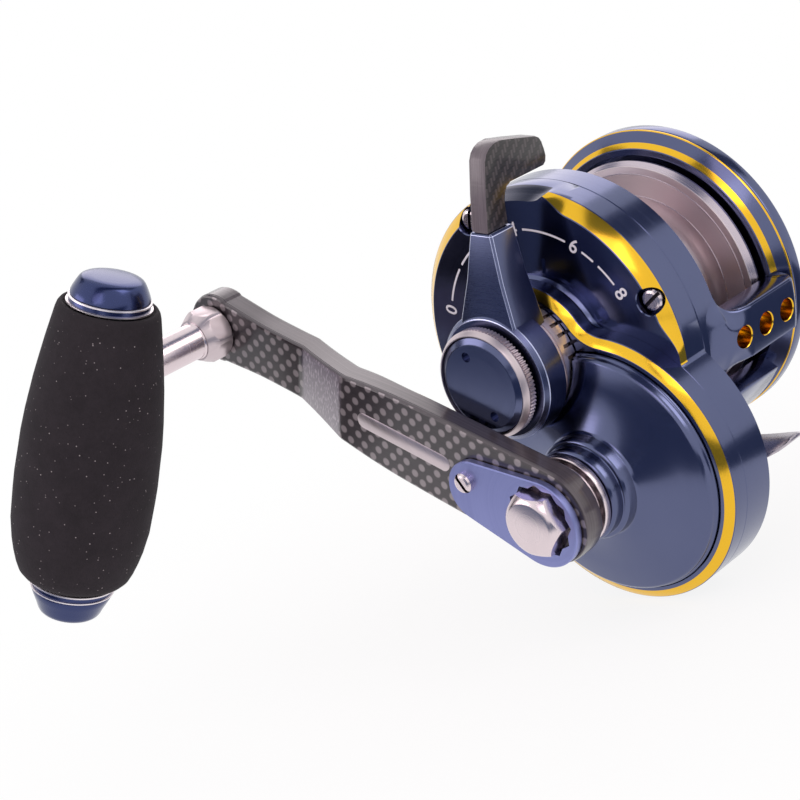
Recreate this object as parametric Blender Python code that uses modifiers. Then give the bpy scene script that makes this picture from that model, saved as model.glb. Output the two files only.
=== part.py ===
# Overhead lever-drag trolling reel, built as separate named pieces.
# Metres, +Z up. +X runs along the spool axis to the handle side and +Y to the rod tip.
# The origin is the middle of the foot's flat underside, which sits in the rod's reel seat.

import bpy
import bmesh
from math import acos, asin, cos, pi, radians, sin, tan
from mathutils import Vector

MM = 0.001

# Driving dimensions of the whole reel
GAP = 0.3 * MM                 # between pieces that seat on each other
RUN = 0.4 * MM                 # between pieces that turn in each other
SPOOL_AXIS_Z = 35.0 * MM
RING_RADIUS = 33.1 * MM
RING_WALL = 4.8 * MM           # rim to bore
RING_BORE = RING_RADIUS - RING_WALL
WINDOW_HALF = 11.5 * MM        # from the middle of the spool to each ring
LEFT_RING = 3.4 * MM           # thickness of the left ring
RIGHT_RING = 5.95 * MM         # thickness of the right ring
FOOT_THICK = 2.2 * MM

# Gear train, pinion on the spool axis and main gear below and ahead of it
GEAR_MODULE = 1.0 * MM
GEAR_TEETH = 44
PINION_TEETH = 12
PRESSURE_ANGLE = radians(25)
BACKLASH = 0.16 * MM           # taken off each flank
GEAR_ANGLE = radians(-65.1)    # direction of the gear axis from the spool axis
CENTRES = GEAR_MODULE * (GEAR_TEETH + PINION_TEETH) / 2
GEAR_Y = CENTRES * cos(GEAR_ANGLE)
GEAR_Z = SPOOL_AXIS_Z + CENTRES * sin(GEAR_ANGLE)

# Stations along the spool axis, each from the one before
LEFT_SEAM = -WINDOW_HALF - LEFT_RING
RIGHT_SEAM = WINDOW_HALF + RIGHT_RING
PLATE_BACK = RIGHT_SEAM + GAP
PLATE_WALL = 1.65 * MM         # wall between the spool and the gear case
DIAL_FACE = PLATE_BACK + 8.05 * MM
COVER_BACK = DIAL_FACE + GAP
COVER_TOP = COVER_BACK + 4.7 * MM
COVER_EDGE = 1.15 * MM         # height of the cover's sloped edge
COVER_SLOPE = 2.05 * MM        # width of the cover's sloped edge
CAP_BACK = COVER_BACK + 2.4 * MM
CAM_FRONT = COVER_BACK + 9.9 * MM
HUB_BACK = CAM_FRONT + RUN
HUB_FRONT = HUB_BACK + 6.0 * MM
PRESET_BACK = HUB_FRONT + 0.9 * MM
PRESET_FRONT = PRESET_BACK + 3.2 * MM
ARM_BACK = PRESET_FRONT + 0.8 * MM
ARM_THICK = 4.8 * MM
ARM_FRONT = ARM_BACK + ARM_THICK

# Shafts
SHAFT_RADIUS = 3.0 * MM
DRIVE_RADIUS = 5.0 * MM
PINION_TUBE = 4.6 * MM
CLUTCH_RADIUS = 8.2 * MM       # clutch and bearing on the drive shaft

# Spool and drag
FLANGE_RADIUS = RING_BORE - 0.7 * MM
FLANGE_THICK = 1.8 * MM
SPOOL_HALF = WINDOW_HALF - 0.5 * MM
ARBOR_RADIUS = FLANGE_RADIUS - 12.6 * MM
SPOOL_BORE = 8.3 * MM
DRAG_RADIUS = FLANGE_RADIUS - 3.6 * MM

# Drag lever
LEVER_ANGLE = radians(78)      # in the photograph, from +Y towards +Z
HUB_RADIUS = 13.4 * MM
CAM_RADIUS = 10.9 * MM
TIP_THICK = 4.2 * MM
LEVER_REACH = 29.5 * MM

# Side plate and gear case
LOBE_RADIUS = 28.6 * MM
CASE_BORE = GEAR_MODULE * (GEAR_TEETH / 2 + 1) + 1.3 * MM
CAP_RADIUS = LOBE_RADIUS - 3.0 * MM
EYE_COVER_RADIUS = 15.0 * MM   # cover's wall round the spool axis

# Crank and knob
ARM_ANGLE = radians(153.3)
ARM_LENGTH = 95.7 * MM
ARM_DROP = 4.0 * MM            # how far the arm cranks towards the body
EYE_BACK = ARM_BACK - ARM_DROP
EYE_FRONT = ARM_FRONT - ARM_DROP
KNOB_ANGLE = radians(65.2)
KNOB_TILT = radians(15.1)      # how far the barrel is canted from square to its spindle
KNOB_X = EYE_FRONT + 34.3 * MM
GRIP_UP = 18.3 * MM            # barrel length each way from the spindle
GRIP_DOWN = 46.0 * MM
GRIP_RADIUS = 15.4 * MM
GRIP_END = 10.6 * MM
SPINDLE_RADIUS = 3.0 * MM

# Facets round a turned piece
STEPS_WIDE = 36
STEPS_MEDIUM = 22
STEPS_SLIM = 14


# Clear the scene and set out the two collections
for old in list(bpy.data.objects):
    bpy.data.objects.remove(old, do_unlink=True)
parts = bpy.data.collections.new("trolling_reel")
cutters = bpy.data.collections.new("cutters")
bpy.context.scene.collection.children.link(parts)
bpy.context.scene.collection.children.link(cutters)
cutters.hide_render = True


def material(name, colour, metallic, roughness):
    found = bpy.data.materials.get(name)
    if found:
        return found
    made = bpy.data.materials.new(name)
    made.use_nodes = True
    shader = made.node_tree.nodes["Principled BSDF"]
    shader.inputs["Base Color"].default_value = (*colour, 1)
    shader.inputs["Metallic"].default_value = metallic
    shader.inputs["Roughness"].default_value = roughness
    made.diffuse_color = (*colour, 1)
    return made


NAVY = ("navy_anodised", (0.018, 0.032, 0.095), 0.9, 0.32)
STEEL = ("stainless_steel", (0.62, 0.61, 0.60), 1.0, 0.25)
CARBON = ("carbon_laminate", (0.045, 0.042, 0.045), 0.2, 0.40)
GUNMETAL = ("gunmetal_anodised", (0.17, 0.13, 0.125), 0.9, 0.30)
FOAM = ("black_foam", (0.022, 0.020, 0.021), 0.0, 0.90)
BRONZE = ("gear_bronze", (0.55, 0.36, 0.13), 1.0, 0.32)
BEARING = ("bearing_steel", (0.50, 0.50, 0.51), 1.0, 0.22)
FRICTION = ("drag_friction", (0.05, 0.05, 0.05), 0.0, 0.75)
FOOT = ("foot_aluminium", (0.42, 0.42, 0.43), 1.0, 0.35)


def empty(name, place, parent=None, turn=0.0):
    made = bpy.data.objects.new(name, None)
    made.empty_display_size = 0.01
    made.location = place
    made.rotation_euler = (turn, 0, 0)
    made.parent = parent
    parts.objects.link(made)
    return made


def finish(name, mesh, look, parent):
    made = bpy.data.objects.new(name, mesh)
    made.parent = parent
    if look:
        mesh.materials.append(material(*look))
        parts.objects.link(made)
    else:
        made.display_type = "WIRE"
        made.hide_render = True
        cutters.objects.link(made)
    return made


def baked(mesh):
    work = bmesh.new()
    work.from_mesh(mesh)
    bmesh.ops.remove_doubles(work, verts=work.verts, dist=1e-6)
    bmesh.ops.recalc_face_normals(work, faces=work.faces)
    work.to_mesh(mesh)
    work.free()
    return mesh


# A turned piece: (x, r) profile from its +X end down the outer side, spun about X.
# A profile that leaves the axis closes on itself and makes a ring.
def turned(name, profile, look=None, parent=None, steps=STEPS_MEDIUM, at=(0, 0)):
    mesh = bpy.data.meshes.new(name)
    points = [(r, 0, x) for x, r in profile]
    edges = [(i, i + 1) for i in range(len(points) - 1)]
    if min(r for _, r in profile) > 0:
        edges.append((len(points) - 1, 0))
    mesh.from_pydata(points, edges, [])
    made = finish(name, mesh, look, parent)
    made.rotation_euler = (0, pi / 2, 0)
    made.location = (0, at[0], at[1])
    spin = made.modifiers.new("spin", "SCREW")
    spin.axis = "Z"
    spin.steps = steps
    spin.render_steps = steps
    spin.use_merge_vertices = True
    spin.merge_threshold = 0.00001
    spin.use_smooth_shade = False
    return made


def ring(name, x0, x1, inner, outer, look=None, parent=None, steps=STEPS_MEDIUM, at=(0, 0)):
    return turned(name, [(x1, outer), (x0, outer), (x0, inner), (x1, inner)], look, parent, steps, at)


def rod(name, x0, x1, radius, look=None, parent=None, steps=STEPS_SLIM, at=(0, 0)):
    return turned(name, [(x1, 0), (x1, radius), (x0, radius), (x0, 0)], look, parent, steps, at)


# A flat piece: outlines in the Y-Z plane, filled as a 2D curve and given thickness along X.
def plate(name, outlines, x0, x1, look=None, parent=None):
    curve = bpy.data.curves.new(name, "CURVE")
    curve.dimensions = "2D"
    curve.fill_mode = "BOTH"
    curve.extrude = (x1 - x0) / 2
    for outline in outlines:
        spline = curve.splines.new("POLY")
        spline.points.add(len(outline) - 1)
        for point, (y, z) in zip(spline.points, outline):
            point.co = (y, z, 0, 1)
        spline.use_cyclic_u = True
    source = bpy.data.objects.new(name + "_outline", curve)
    mesh = baked(bpy.data.meshes.new_from_object(source))
    bpy.data.objects.remove(source)
    mesh.name = name
    made = finish(name, mesh, look, parent)
    made.rotation_euler = (pi / 2, 0, pi / 2)
    made.location = ((x0 + x1) / 2, 0, 0)
    return made


# A shape between unlike sections, each a list of points with the same count.
def loft(name, sections, look=None, parent=None):
    work = bmesh.new()
    rings = [[work.verts.new(p) for p in section] for section in sections]
    count = len(rings[0])
    for low, high in zip(rings, rings[1:]):
        for i in range(count):
            j = (i + 1) % count
            work.faces.new((low[i], low[j], high[j], high[i]))
    work.faces.new(rings[0])
    work.faces.new(rings[-1])
    bmesh.ops.recalc_face_normals(work, faces=work.faces)
    mesh = bpy.data.meshes.new(name)
    work.to_mesh(mesh)
    work.free()
    return finish(name, mesh, look, parent)


def boolean(target, other, operation):
    step = target.modifiers.new(other.name, "BOOLEAN")
    step.operation = operation
    step.solver = "EXACT"
    step.object = other


def cut(target, *others):
    for other in others:
        boolean(target, other, "DIFFERENCE")


def join(target, *others):
    for other in others:
        boolean(target, other, "UNION")


def arc(radius, start, end, count, centre=(0, 0)):
    steps = [start + (end - start) * i / (count - 1) for i in range(count)]
    return [(centre[0] + radius * cos(a), centre[1] + radius * sin(a)) for a in steps]


def circle(radius, count, centre=(0, 0)):
    return arc(radius, 0, 2 * pi * (count - 1) / count, count, centre)


def sector(inner, outer, start, end, count):
    return arc(outer, start, end, count) + arc(inner, end, start, count)


# Outline round the spool axis and the gear axis together, with a hollow fillet at each side.
def two_lobes(near, far, fillet):
    a, b = near + fillet, far + fillet
    swing = acos((CENTRES ** 2 + a ** 2 - b ** 2) / (2 * CENTRES * a))
    middle = [(a * cos(GEAR_ANGLE + s * swing), a * sin(GEAR_ANGLE + s * swing)) for s in (1, -1)]
    gear = (GEAR_Y, GEAR_Z - SPOOL_AXIS_Z)
    sweep = asin(a * sin(swing) / b)
    if a * cos(swing) > CENTRES:
        sweep = pi - sweep
    back = GEAR_ANGLE + pi
    outline = arc(near, GEAR_ANGLE + swing, GEAR_ANGLE + 2 * pi - swing, 32)
    outline += arc(fillet, back - swing, GEAR_ANGLE + sweep, 6, middle[1])[1:-1]
    outline += arc(far, back + sweep, back + 2 * pi - sweep, 30, gear)
    outline += arc(fillet, GEAR_ANGLE + 2 * pi - sweep, back + swing, 6, middle[0])[1:-1]
    return outline


# Outline of a belt round two circles, the first at the origin and the second along +Y.
def belt(first, second, distance, count=14):
    lean = acos((first - second) / distance)
    outline = arc(first, lean, 2 * pi - lean, count)
    return outline + arc(second, -lean, lean, count, (distance, 0))


# Involute spur gear outline, with a tooth or a gap centred on the given direction.
def spur(teeth, phase):
    pitch = GEAR_MODULE * teeth / 2
    base = pitch * cos(PRESSURE_ANGLE)
    root = pitch - 1.25 * GEAR_MODULE
    tip = pitch + GEAR_MODULE
    involute = tan(PRESSURE_ANGLE) - PRESSURE_ANGLE
    half = pi / (2 * teeth) - BACKLASH / pitch
    start = max(root + 0.3 * GEAR_MODULE, base)
    flank = []
    for r in (start, tip):
        a = acos(min(1.0, base / r))
        flank.append((r, half + involute - (tan(a) - a)))
    outline = []
    for tooth in range(teeth):
        middle = phase + 2 * pi * tooth / teeth
        side = [(root, flank[0][1] + 0.06 * pi / teeth)] + flank
        for r, a in side:
            outline.append((r * cos(middle - a), r * sin(middle - a)))
        for r, a in reversed(side):
            outline.append((r * cos(middle + a), r * sin(middle + a)))
    return outline


# Joint axes
spool_axis = empty("spool_axis", (0, 0, SPOOL_AXIS_Z))
gear_axis = empty("gear_axis", (0, GEAR_Y, GEAR_Z))
lever_axis = empty("lever_axis", (0, 0, SPOOL_AXIS_Z), turn=LEVER_ANGLE)
crank_arm = empty("crank_arm", (0, 0, 0), gear_axis, ARM_ANGLE)
knob_axis = empty("knob_axis", (0, ARM_LENGTH, 0), crank_arm, KNOB_ANGLE - ARM_ANGLE)


# Frame: one machined tube with two rings, opened into windows between the pillars
EDGE = 1.8 * MM
EDGE_START = 0.2 * MM - WINDOW_HALF
frame = turned("frame", [
    (RIGHT_SEAM, RING_RADIUS), (EDGE_START, RING_RADIUS), (EDGE_START, RING_RADIUS - EDGE),
    (EDGE_START - EDGE, RING_RADIUS), (LEFT_SEAM, RING_RADIUS),
    (LEFT_SEAM, RING_BORE), (RIGHT_SEAM, RING_BORE)], NAVY, spool_axis, STEPS_WIDE)
PILLAR_TOP = radians(-2.6)
PILLAR_LOW = radians(-21.0)
BASE_FRONT = radians(-40.0)
PILLAR_FACE = RING_RADIUS + 2.6 * MM
FOOT_SEAT = FOOT_THICK + GAP
PEDESTAL = 17.0 * MM
PEDESTAL_WIDE = 6.75 * MM
pedestal = plate("pedestal", [[
    (-PEDESTAL, 0), (PEDESTAL, 0), (PEDESTAL - 3 * MM, SPOOL_AXIS_Z - RING_BORE - 0.8 * MM),
    (3 * MM - PEDESTAL, SPOOL_AXIS_Z - RING_BORE - 0.8 * MM)]], -PEDESTAL_WIDE, PEDESTAL_WIDE)
join(frame, pedestal)
windows = (("top_window", PILLAR_TOP, pi - PILLAR_TOP, 40),
           ("front_window", BASE_FRONT, PILLAR_LOW, 6),
           ("rear_window", pi - PILLAR_LOW, pi - BASE_FRONT, 6))
for name, start, end, count in windows:
    cut(frame, plate(name, [sector(RING_BORE - 6 * MM, PILLAR_FACE + 8 * MM, start, end, count)],
                     -WINDOW_HALF, WINDOW_HALF, None, spool_axis))
SHY = radians(0.6)
join(frame, plate("pillar_lug", [sector(RING_BORE + 2 * MM, PILLAR_FACE, PILLAR_LOW + SHY, PILLAR_TOP - SHY, 6)],
                  -WINDOW_HALF - 0.6 * MM, WINDOW_HALF + 0.6 * MM, None, spool_axis))
LIGHTENING = 2.3 * MM
HOLE_PITCH = 7.5 * MM
HOLE_ANGLE = (PILLAR_TOP + PILLAR_LOW) / 2
outward = Vector((0, cos(HOLE_ANGLE), sin(HOLE_ANGLE)))
for number, side in enumerate((-1, 0, 1)):
    hole = rod("pillar_hole_%d" % (number + 1), RING_BORE - 5 * MM, PILLAR_FACE + 5 * MM,
               LIGHTENING, None, spool_axis, 16)
    hole.rotation_euler = outward.to_track_quat("Z", "X").to_euler()
    hole.location = (side * HOLE_PITCH, 0, 0)
    cut(frame, hole)
cut(frame, plate("seat_cut", [[(-RING_RADIUS, -RING_RADIUS), (RING_RADIUS, -RING_RADIUS), (RING_RADIUS, FOOT_SEAT),
                              (-RING_RADIUS, FOOT_SEAT)]], -RING_RADIUS, RING_RADIUS))

# Screw places shared by the frame and both side plates
SCREW_CIRCLE = RING_RADIUS - 2.8 * MM
SCREW_HEAD = 2.3 * MM
SCREW_SHANK = 1.2 * MM
HEAD_DEEP = 2.1 * MM
RIGHT_SCREWS = [radians(a) for a in (14.3, 111.6, 208.9)]
LEFT_SCREWS = [radians(a) for a in (30.0, 150.0, 270.0)]
right_seats = [(SCREW_CIRCLE * cos(a), SCREW_CIRCLE * sin(a)) for a in RIGHT_SCREWS]
left_seats = [(SCREW_CIRCLE * cos(a), SCREW_CIRCLE * sin(a)) for a in LEFT_SCREWS]
for number, seat in enumerate(right_seats):
    cut(frame, rod("right_thread_%d" % (number + 1), WINDOW_HALF + 1.5 * MM, RIGHT_SEAM + MM,
                   SCREW_SHANK + GAP, None, spool_axis, 12, seat))
for number, seat in enumerate(left_seats):
    cut(frame, rod("left_thread_%d" % (number + 1), LEFT_SEAM - MM, LEFT_SEAM + 1.8 * MM,
                   SCREW_SHANK + GAP, None, spool_axis, 12, seat))


# Foot: thin bar for the rod's reel seat, flat underneath with raised tips
FOOT_FRONT = 34.0 * MM
FOOT_REAR = -44.0 * MM
FOOT_HALF = PEDESTAL_WIDE
FOOT_SCREW_Y = 9.0 * MM
stations = ((FOOT_REAR, 0.5, 1.3, 1.7), (FOOT_REAR + 4 * MM, 0.8, 0.8, 1.9), (-24 * MM, 1.0, 0.0, 2.2),
            (24 * MM, 1.0, 0.0, 2.2), (FOOT_FRONT - 4 * MM, 0.8, 0.8, 1.9), (FOOT_FRONT, 0.5, 1.3, 1.7))
sections = []
for y, wide, low, high in stations:
    half = FOOT_HALF * wide
    low = low * FOOT_THICK / 2.2
    high = high * FOOT_THICK / 2.2
    side = low + (high - low) * 0.45
    sections.append([(-half, y, low), (half, y, low), (half, y, side), (half * 0.55, y, high),
                     (-half * 0.55, y, high), (-half, y, side)])
foot = loft("reel_foot", sections, FOOT)
for number, y in enumerate((-FOOT_SCREW_Y, FOOT_SCREW_Y)):
    seat = rod("foot_seat_%d" % (number + 1), -MM, 1.5 * MM, SCREW_HEAD + GAP, None, None, 16)
    bore = rod("foot_bore_%d" % (number + 1), -MM, 6.0 * MM, SCREW_SHANK + GAP, None, None, 12)
    screw = turned("foot_screw_%d" % (number + 1), [
        (5.6 * MM, 0), (5.6 * MM, SCREW_SHANK), (1.2 * MM, SCREW_SHANK), (1.2 * MM, SCREW_HEAD),
        (0.2 * MM, SCREW_HEAD), (0.2 * MM, 0)], STEEL, None, 12)
    for piece in (seat, bore, screw):
        piece.rotation_euler = (0, 0, 0)
        piece.location = (0, y, 0)
    cut(foot, seat, bore)
    cut(frame, bore)


# Left side plate: closes the left ring and holds the bearing of the spool shaft
LEFT_FACE = LEFT_SEAM - 5.2 * MM
LEFT_BEARING = 6.5 * MM
BOSS_FRONT = LEFT_SEAM + 2.0 * MM
SHAFT_LEFT = LEFT_SEAM - 3.0 * MM
POCKET_LEFT = SHAFT_LEFT - 0.8 * MM
left_plate = turned("left_side_plate", [
    (POCKET_LEFT, 0), (POCKET_LEFT, LEFT_BEARING + GAP), (BOSS_FRONT, LEFT_BEARING + GAP),
    (BOSS_FRONT, LEFT_BEARING + 2 * MM), (LEFT_SEAM - GAP, LEFT_BEARING + 2.6 * MM),
    (LEFT_SEAM - GAP, RING_RADIUS - 0.5 * MM), (LEFT_SEAM - GAP - 0.5 * MM, RING_RADIUS),
    (LEFT_FACE + 2.2 * MM, RING_RADIUS), (LEFT_FACE, RING_RADIUS - 2.4 * MM), (LEFT_FACE, 0)],
    NAVY, spool_axis, STEPS_WIDE)
for number, seat in enumerate(left_seats):
    label = "_%d" % (number + 1)
    cut(left_plate,
        rod("left_counterbore" + label, LEFT_FACE - MM, LEFT_FACE + HEAD_DEEP + GAP,
            SCREW_HEAD + GAP, None, spool_axis, 14, seat),
        rod("left_hole" + label, LEFT_FACE - MM, LEFT_SEAM + MM, SCREW_SHANK + GAP,
            None, spool_axis, 12, seat))
    turned("left_plate_screw" + label, [
        (LEFT_SEAM + 1.5 * MM, 0), (LEFT_SEAM + 1.5 * MM, SCREW_SHANK),
        (LEFT_FACE + HEAD_DEEP, SCREW_SHANK), (LEFT_FACE + HEAD_DEEP, SCREW_HEAD),
        (LEFT_FACE + GAP, SCREW_HEAD), (LEFT_FACE + GAP, 0)], STEEL, spool_axis, 12, seat)
ring("left_bearing", POCKET_LEFT + GAP, BOSS_FRONT - GAP, SHAFT_RADIUS + RUN, LEFT_BEARING,
     BEARING, spool_axis, STEPS_SLIM)


# Right side plate: dial face on the outside, open gear case below it
CASE_FLOOR = PLATE_BACK + PLATE_WALL
RIM_DEEP = 2.3 * MM
RIM_SLOPE = 2.7 * MM
PINION_HOLE = PINION_TUBE + 1.0 * MM
PINION_CASE = GEAR_MODULE * (PINION_TEETH / 2 + 1) + 1.2 * MM
GEAR_AT = (GEAR_Y, GEAR_Z - SPOOL_AXIS_Z)
CREASE = 1.5 * MM
plate_levels = ((PLATE_BACK, 0), (DIAL_FACE - RIM_DEEP, 0), (DIAL_FACE, RIM_SLOPE))
side_plate = loft("right_side_plate", [
    [(x, y, z) for y, z in two_lobes(RING_RADIUS - s, LOBE_RADIUS, CREASE)] for x, s in plate_levels],
    NAVY, spool_axis)
INNER_BEARING = 6.0 * MM
INNER_BEARING_LONG = 2.5 * MM
BEARING_SEAT = CASE_FLOOR + INNER_BEARING_LONG + GAP
cut(side_plate,
    rod("gear_case", CASE_FLOOR, DIAL_FACE + MM, CASE_BORE, None, spool_axis, STEPS_WIDE, GEAR_AT),
    rod("pinion_case", CASE_FLOOR, DIAL_FACE + 2 * MM, PINION_CASE, None, spool_axis, STEPS_MEDIUM),
    rod("pinion_hole", PLATE_BACK - MM, DIAL_FACE + MM, PINION_HOLE, None, spool_axis, STEPS_SLIM))
join(side_plate, ring("bearing_boss", CASE_FLOOR - 0.6 * MM, BEARING_SEAT, INNER_BEARING + GAP,
                      INNER_BEARING + 2 * MM, None, spool_axis, STEPS_SLIM, GEAR_AT))
NOTCH_ANGLE = radians(92)
NOTCH_RADIUS = 5.0 * MM
notch_at = ((RING_RADIUS + 3.2 * MM) * cos(NOTCH_ANGLE), (RING_RADIUS + 3.2 * MM) * sin(NOTCH_ANGLE))
cut(side_plate, rod("thumb_notch", PLATE_BACK - MM, DIAL_FACE + MM, NOTCH_RADIUS, None, spool_axis,
                    STEPS_SLIM, notch_at))
for number, seat in enumerate(right_seats):
    label = "_%d" % (number + 1)
    cut(side_plate,
        rod("right_counterbore" + label, DIAL_FACE - HEAD_DEEP - GAP, DIAL_FACE + MM,
            SCREW_HEAD + GAP, None, spool_axis, 14, seat),
        rod("right_hole" + label, PLATE_BACK - MM, DIAL_FACE, SCREW_SHANK + GAP, None, spool_axis, 12, seat))
    turned("side_plate_screw" + label, [
        (DIAL_FACE - GAP, 0), (DIAL_FACE - GAP, SCREW_HEAD), (DIAL_FACE - HEAD_DEEP, SCREW_HEAD),
        (DIAL_FACE - HEAD_DEEP, SCREW_SHANK), (WINDOW_HALF + 2 * MM, SCREW_SHANK),
        (WINDOW_HALF + 2 * MM, 0)], STEEL, spool_axis, 12, seat)


# Gear cover: raised eight-shaped ring round the gear cap and the lever's cam
COVER_FILLET = 7.0 * MM
cover_levels = ((COVER_BACK, 0), (COVER_TOP - COVER_EDGE, 0), (COVER_TOP, COVER_SLOPE))
cover = loft("gear_cover", [
    [(x, y, z) for y, z in two_lobes(EYE_COVER_RADIUS - s, LOBE_RADIUS - s, COVER_FILLET + s)]
    for x, s in cover_levels], NAVY, spool_axis)
BITE = CAM_RADIUS + 0.6 * MM
CAP_LEDGE = CAP_RADIUS - 1.5 * MM
cut(cover,
    rod("cover_bore", COVER_BACK - MM, COVER_TOP + MM, CAP_LEDGE, None, spool_axis, STEPS_WIDE, GEAR_AT),
    rod("cover_seat", CAP_BACK - GAP, COVER_TOP + MM, CAP_RADIUS + GAP, None, spool_axis, STEPS_WIDE, GEAR_AT),
    rod("cover_eye", COVER_BACK - MM, COVER_TOP + MM, BITE, None, spool_axis, STEPS_MEDIUM))


# Gear cap: turned cone with the boss of the drive shaft, bitten away round the cam
CAP_RIM = CAP_BACK + 4.5 * MM
BOSS_BASE = CAP_RIM + 3.6 * MM
BOSS_END = BOSS_BASE + 6.4 * MM
BOSS_RADIUS = CLUTCH_RADIUS + 1.5 * MM
cap = turned("gear_cap", [
    (BOSS_END, BOSS_RADIUS - 0.5 * MM), (BOSS_END - 0.5 * MM, BOSS_RADIUS), (BOSS_BASE + 2.9 * MM, BOSS_RADIUS),
    (BOSS_BASE + 2.3 * MM, BOSS_RADIUS + 1.1 * MM), (BOSS_BASE, BOSS_RADIUS + 1.1 * MM),
    (CAP_RIM + 0.9 * MM, CAP_RADIUS - 5.8 * MM), (CAP_RIM, CAP_RADIUS), (CAP_BACK, CAP_RADIUS),
    (CAP_BACK, CLUTCH_RADIUS + GAP), (BOSS_END - 0.8 * MM, CLUTCH_RADIUS + GAP),
    (BOSS_END - 0.8 * MM, DRIVE_RADIUS + 1.2 * MM), (BOSS_END, DRIVE_RADIUS + 1.2 * MM)],
    NAVY, gear_axis, STEPS_WIDE)
cut(cap, rod("cap_bite", COVER_BACK, BOSS_END, BITE, None, spool_axis, STEPS_MEDIUM))

# Bearings and one-way clutch of the drive shaft
CLUTCH_LONG = 6.8 * MM
CLUTCH_BACK = CAP_BACK + 2.4 * MM
ring("roller_clutch", CLUTCH_BACK, CLUTCH_BACK + CLUTCH_LONG, DRIVE_RADIUS + RUN, CLUTCH_RADIUS,
     BEARING, gear_axis, STEPS_SLIM)
ring("outer_drive_bearing", CLUTCH_BACK + CLUTCH_LONG + GAP, BOSS_END - 0.8 * MM - GAP,
     DRIVE_RADIUS + RUN, CLUTCH_RADIUS, BEARING, gear_axis, STEPS_SLIM)
ring("inner_drive_bearing", CASE_FLOOR + GAP, BEARING_SEAT - 0.1 * MM, SHAFT_RADIUS + RUN, INNER_BEARING,
     BEARING, gear_axis, STEPS_SLIM)


# Cam ring on the dial face, with click notches under the lever's hub
GEAR_BACK = BEARING_SEAT + 0.7 * MM
GEAR_THICK = 4.4 * MM
GEAR_FRONT = GEAR_BACK + GEAR_THICK
PINION_BEARING = 8.0 * MM
cam = ring("cam_ring", COVER_BACK, CAM_FRONT, PINION_BEARING + GAP, CAM_RADIUS, STEEL, spool_axis, STEPS_MEDIUM)
cut(cam, rod("cam_relief", COVER_BACK - MM, GEAR_FRONT + 0.5 * MM, CAP_LEDGE, None, spool_axis, STEPS_WIDE, GEAR_AT))
NOTCH_STEP = radians(24)
for number in range(5):
    a = radians(30) + NOTCH_STEP * number
    cut(cam, rod("cam_notch_%d" % (number + 1), CAM_FRONT - 3 * MM, CAM_FRONT + MM, 0.9 * MM, None, spool_axis,
                 8, (CAM_RADIUS * cos(a), CAM_RADIUS * sin(a))))
ring("pinion_bearing", GEAR_FRONT + 0.5 * MM, GEAR_FRONT + 3.8 * MM, PINION_TUBE + RUN, PINION_BEARING,
     BEARING, spool_axis, STEPS_SLIM)


# Spool shaft, sliding along the spool axis, with its spring washers
SHAFT_FRONT = PRESET_FRONT - 1.5 * MM
rod("spool_shaft", SHAFT_LEFT, SHAFT_FRONT, SHAFT_RADIUS, STEEL, spool_axis)
BEARING_LONG = 4.0 * MM
SPOOL_BEARING = SPOOL_HALF - 2.0 * MM
for number, back in enumerate((SPOOL_BEARING + GAP, SPOOL_BEARING + 1.2 * MM)):
    ring("spring_washer_%d" % (number + 1), back, back + 0.6 * MM, SHAFT_RADIUS + GAP, SHAFT_RADIUS + 3 * MM,
         STEEL, spool_axis, 16)


# Spool with its two bearings and the drag plate on its gear side
spool = turned("spool", [
    (SPOOL_HALF, FLANGE_RADIUS), (SPOOL_HALF - FLANGE_THICK, FLANGE_RADIUS),
    (SPOOL_HALF - FLANGE_THICK - 0.5 * MM, ARBOR_RADIUS + 4 * MM), (SPOOL_HALF - 4.5 * MM, ARBOR_RADIUS),
    (4.5 * MM - SPOOL_HALF, ARBOR_RADIUS), (FLANGE_THICK + 0.5 * MM - SPOOL_HALF, ARBOR_RADIUS + 4 * MM),
    (FLANGE_THICK - SPOOL_HALF, FLANGE_RADIUS), (-SPOOL_HALF, FLANGE_RADIUS),
    (-SPOOL_HALF, SPOOL_BORE), (SPOOL_HALF, SPOOL_BORE)], GUNMETAL, spool_axis, STEPS_WIDE)
for name, back in (("spool_bearing_left", -SPOOL_BEARING), ("spool_bearing_right", SPOOL_BEARING - BEARING_LONG)):
    ring(name, back, back + BEARING_LONG, SHAFT_RADIUS + GAP, SPOOL_BORE - GAP, BEARING, spool_axis, STEPS_SLIM)
DRAG_BACK = SPOOL_HALF + GAP
ring("drag_plate", DRAG_BACK, DRAG_BACK + 1.6 * MM, SPOOL_BORE + 0.2 * MM, DRAG_RADIUS, STEEL, spool_axis)


# Pinion with the drag disc and the friction washer that press on the drag plate
WASHER_BACK = DRAG_BACK + 1.6 * MM + 0.9 * MM
DISC_BACK = WASHER_BACK + 1.2 * MM + GAP
gap_phase = GEAR_ANGLE + pi / PINION_TEETH
pinion = plate("pinion_gear", [spur(PINION_TEETH, gap_phase)], GEAR_BACK - 0.2 * MM, GEAR_FRONT + 0.2 * MM,
               BRONZE, spool_axis)
join(pinion, rod("pinion_tube", DISC_BACK, GEAR_FRONT + 4 * MM, PINION_TUBE, None, spool_axis, STEPS_SLIM))
cut(pinion, rod("pinion_bore", DISC_BACK - MM, GEAR_FRONT + 5 * MM, SHAFT_RADIUS + 0.5 * MM, None,
                spool_axis, STEPS_SLIM))
ring("drag_washer", WASHER_BACK, WASHER_BACK + 1.2 * MM, SPOOL_BORE, DRAG_RADIUS - 0.5 * MM,
     FRICTION, spool_axis)
ring("drag_disc", DISC_BACK, DISC_BACK + 1.5 * MM, PINION_TUBE + GAP, DRAG_RADIUS, STEEL, spool_axis)


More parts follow.
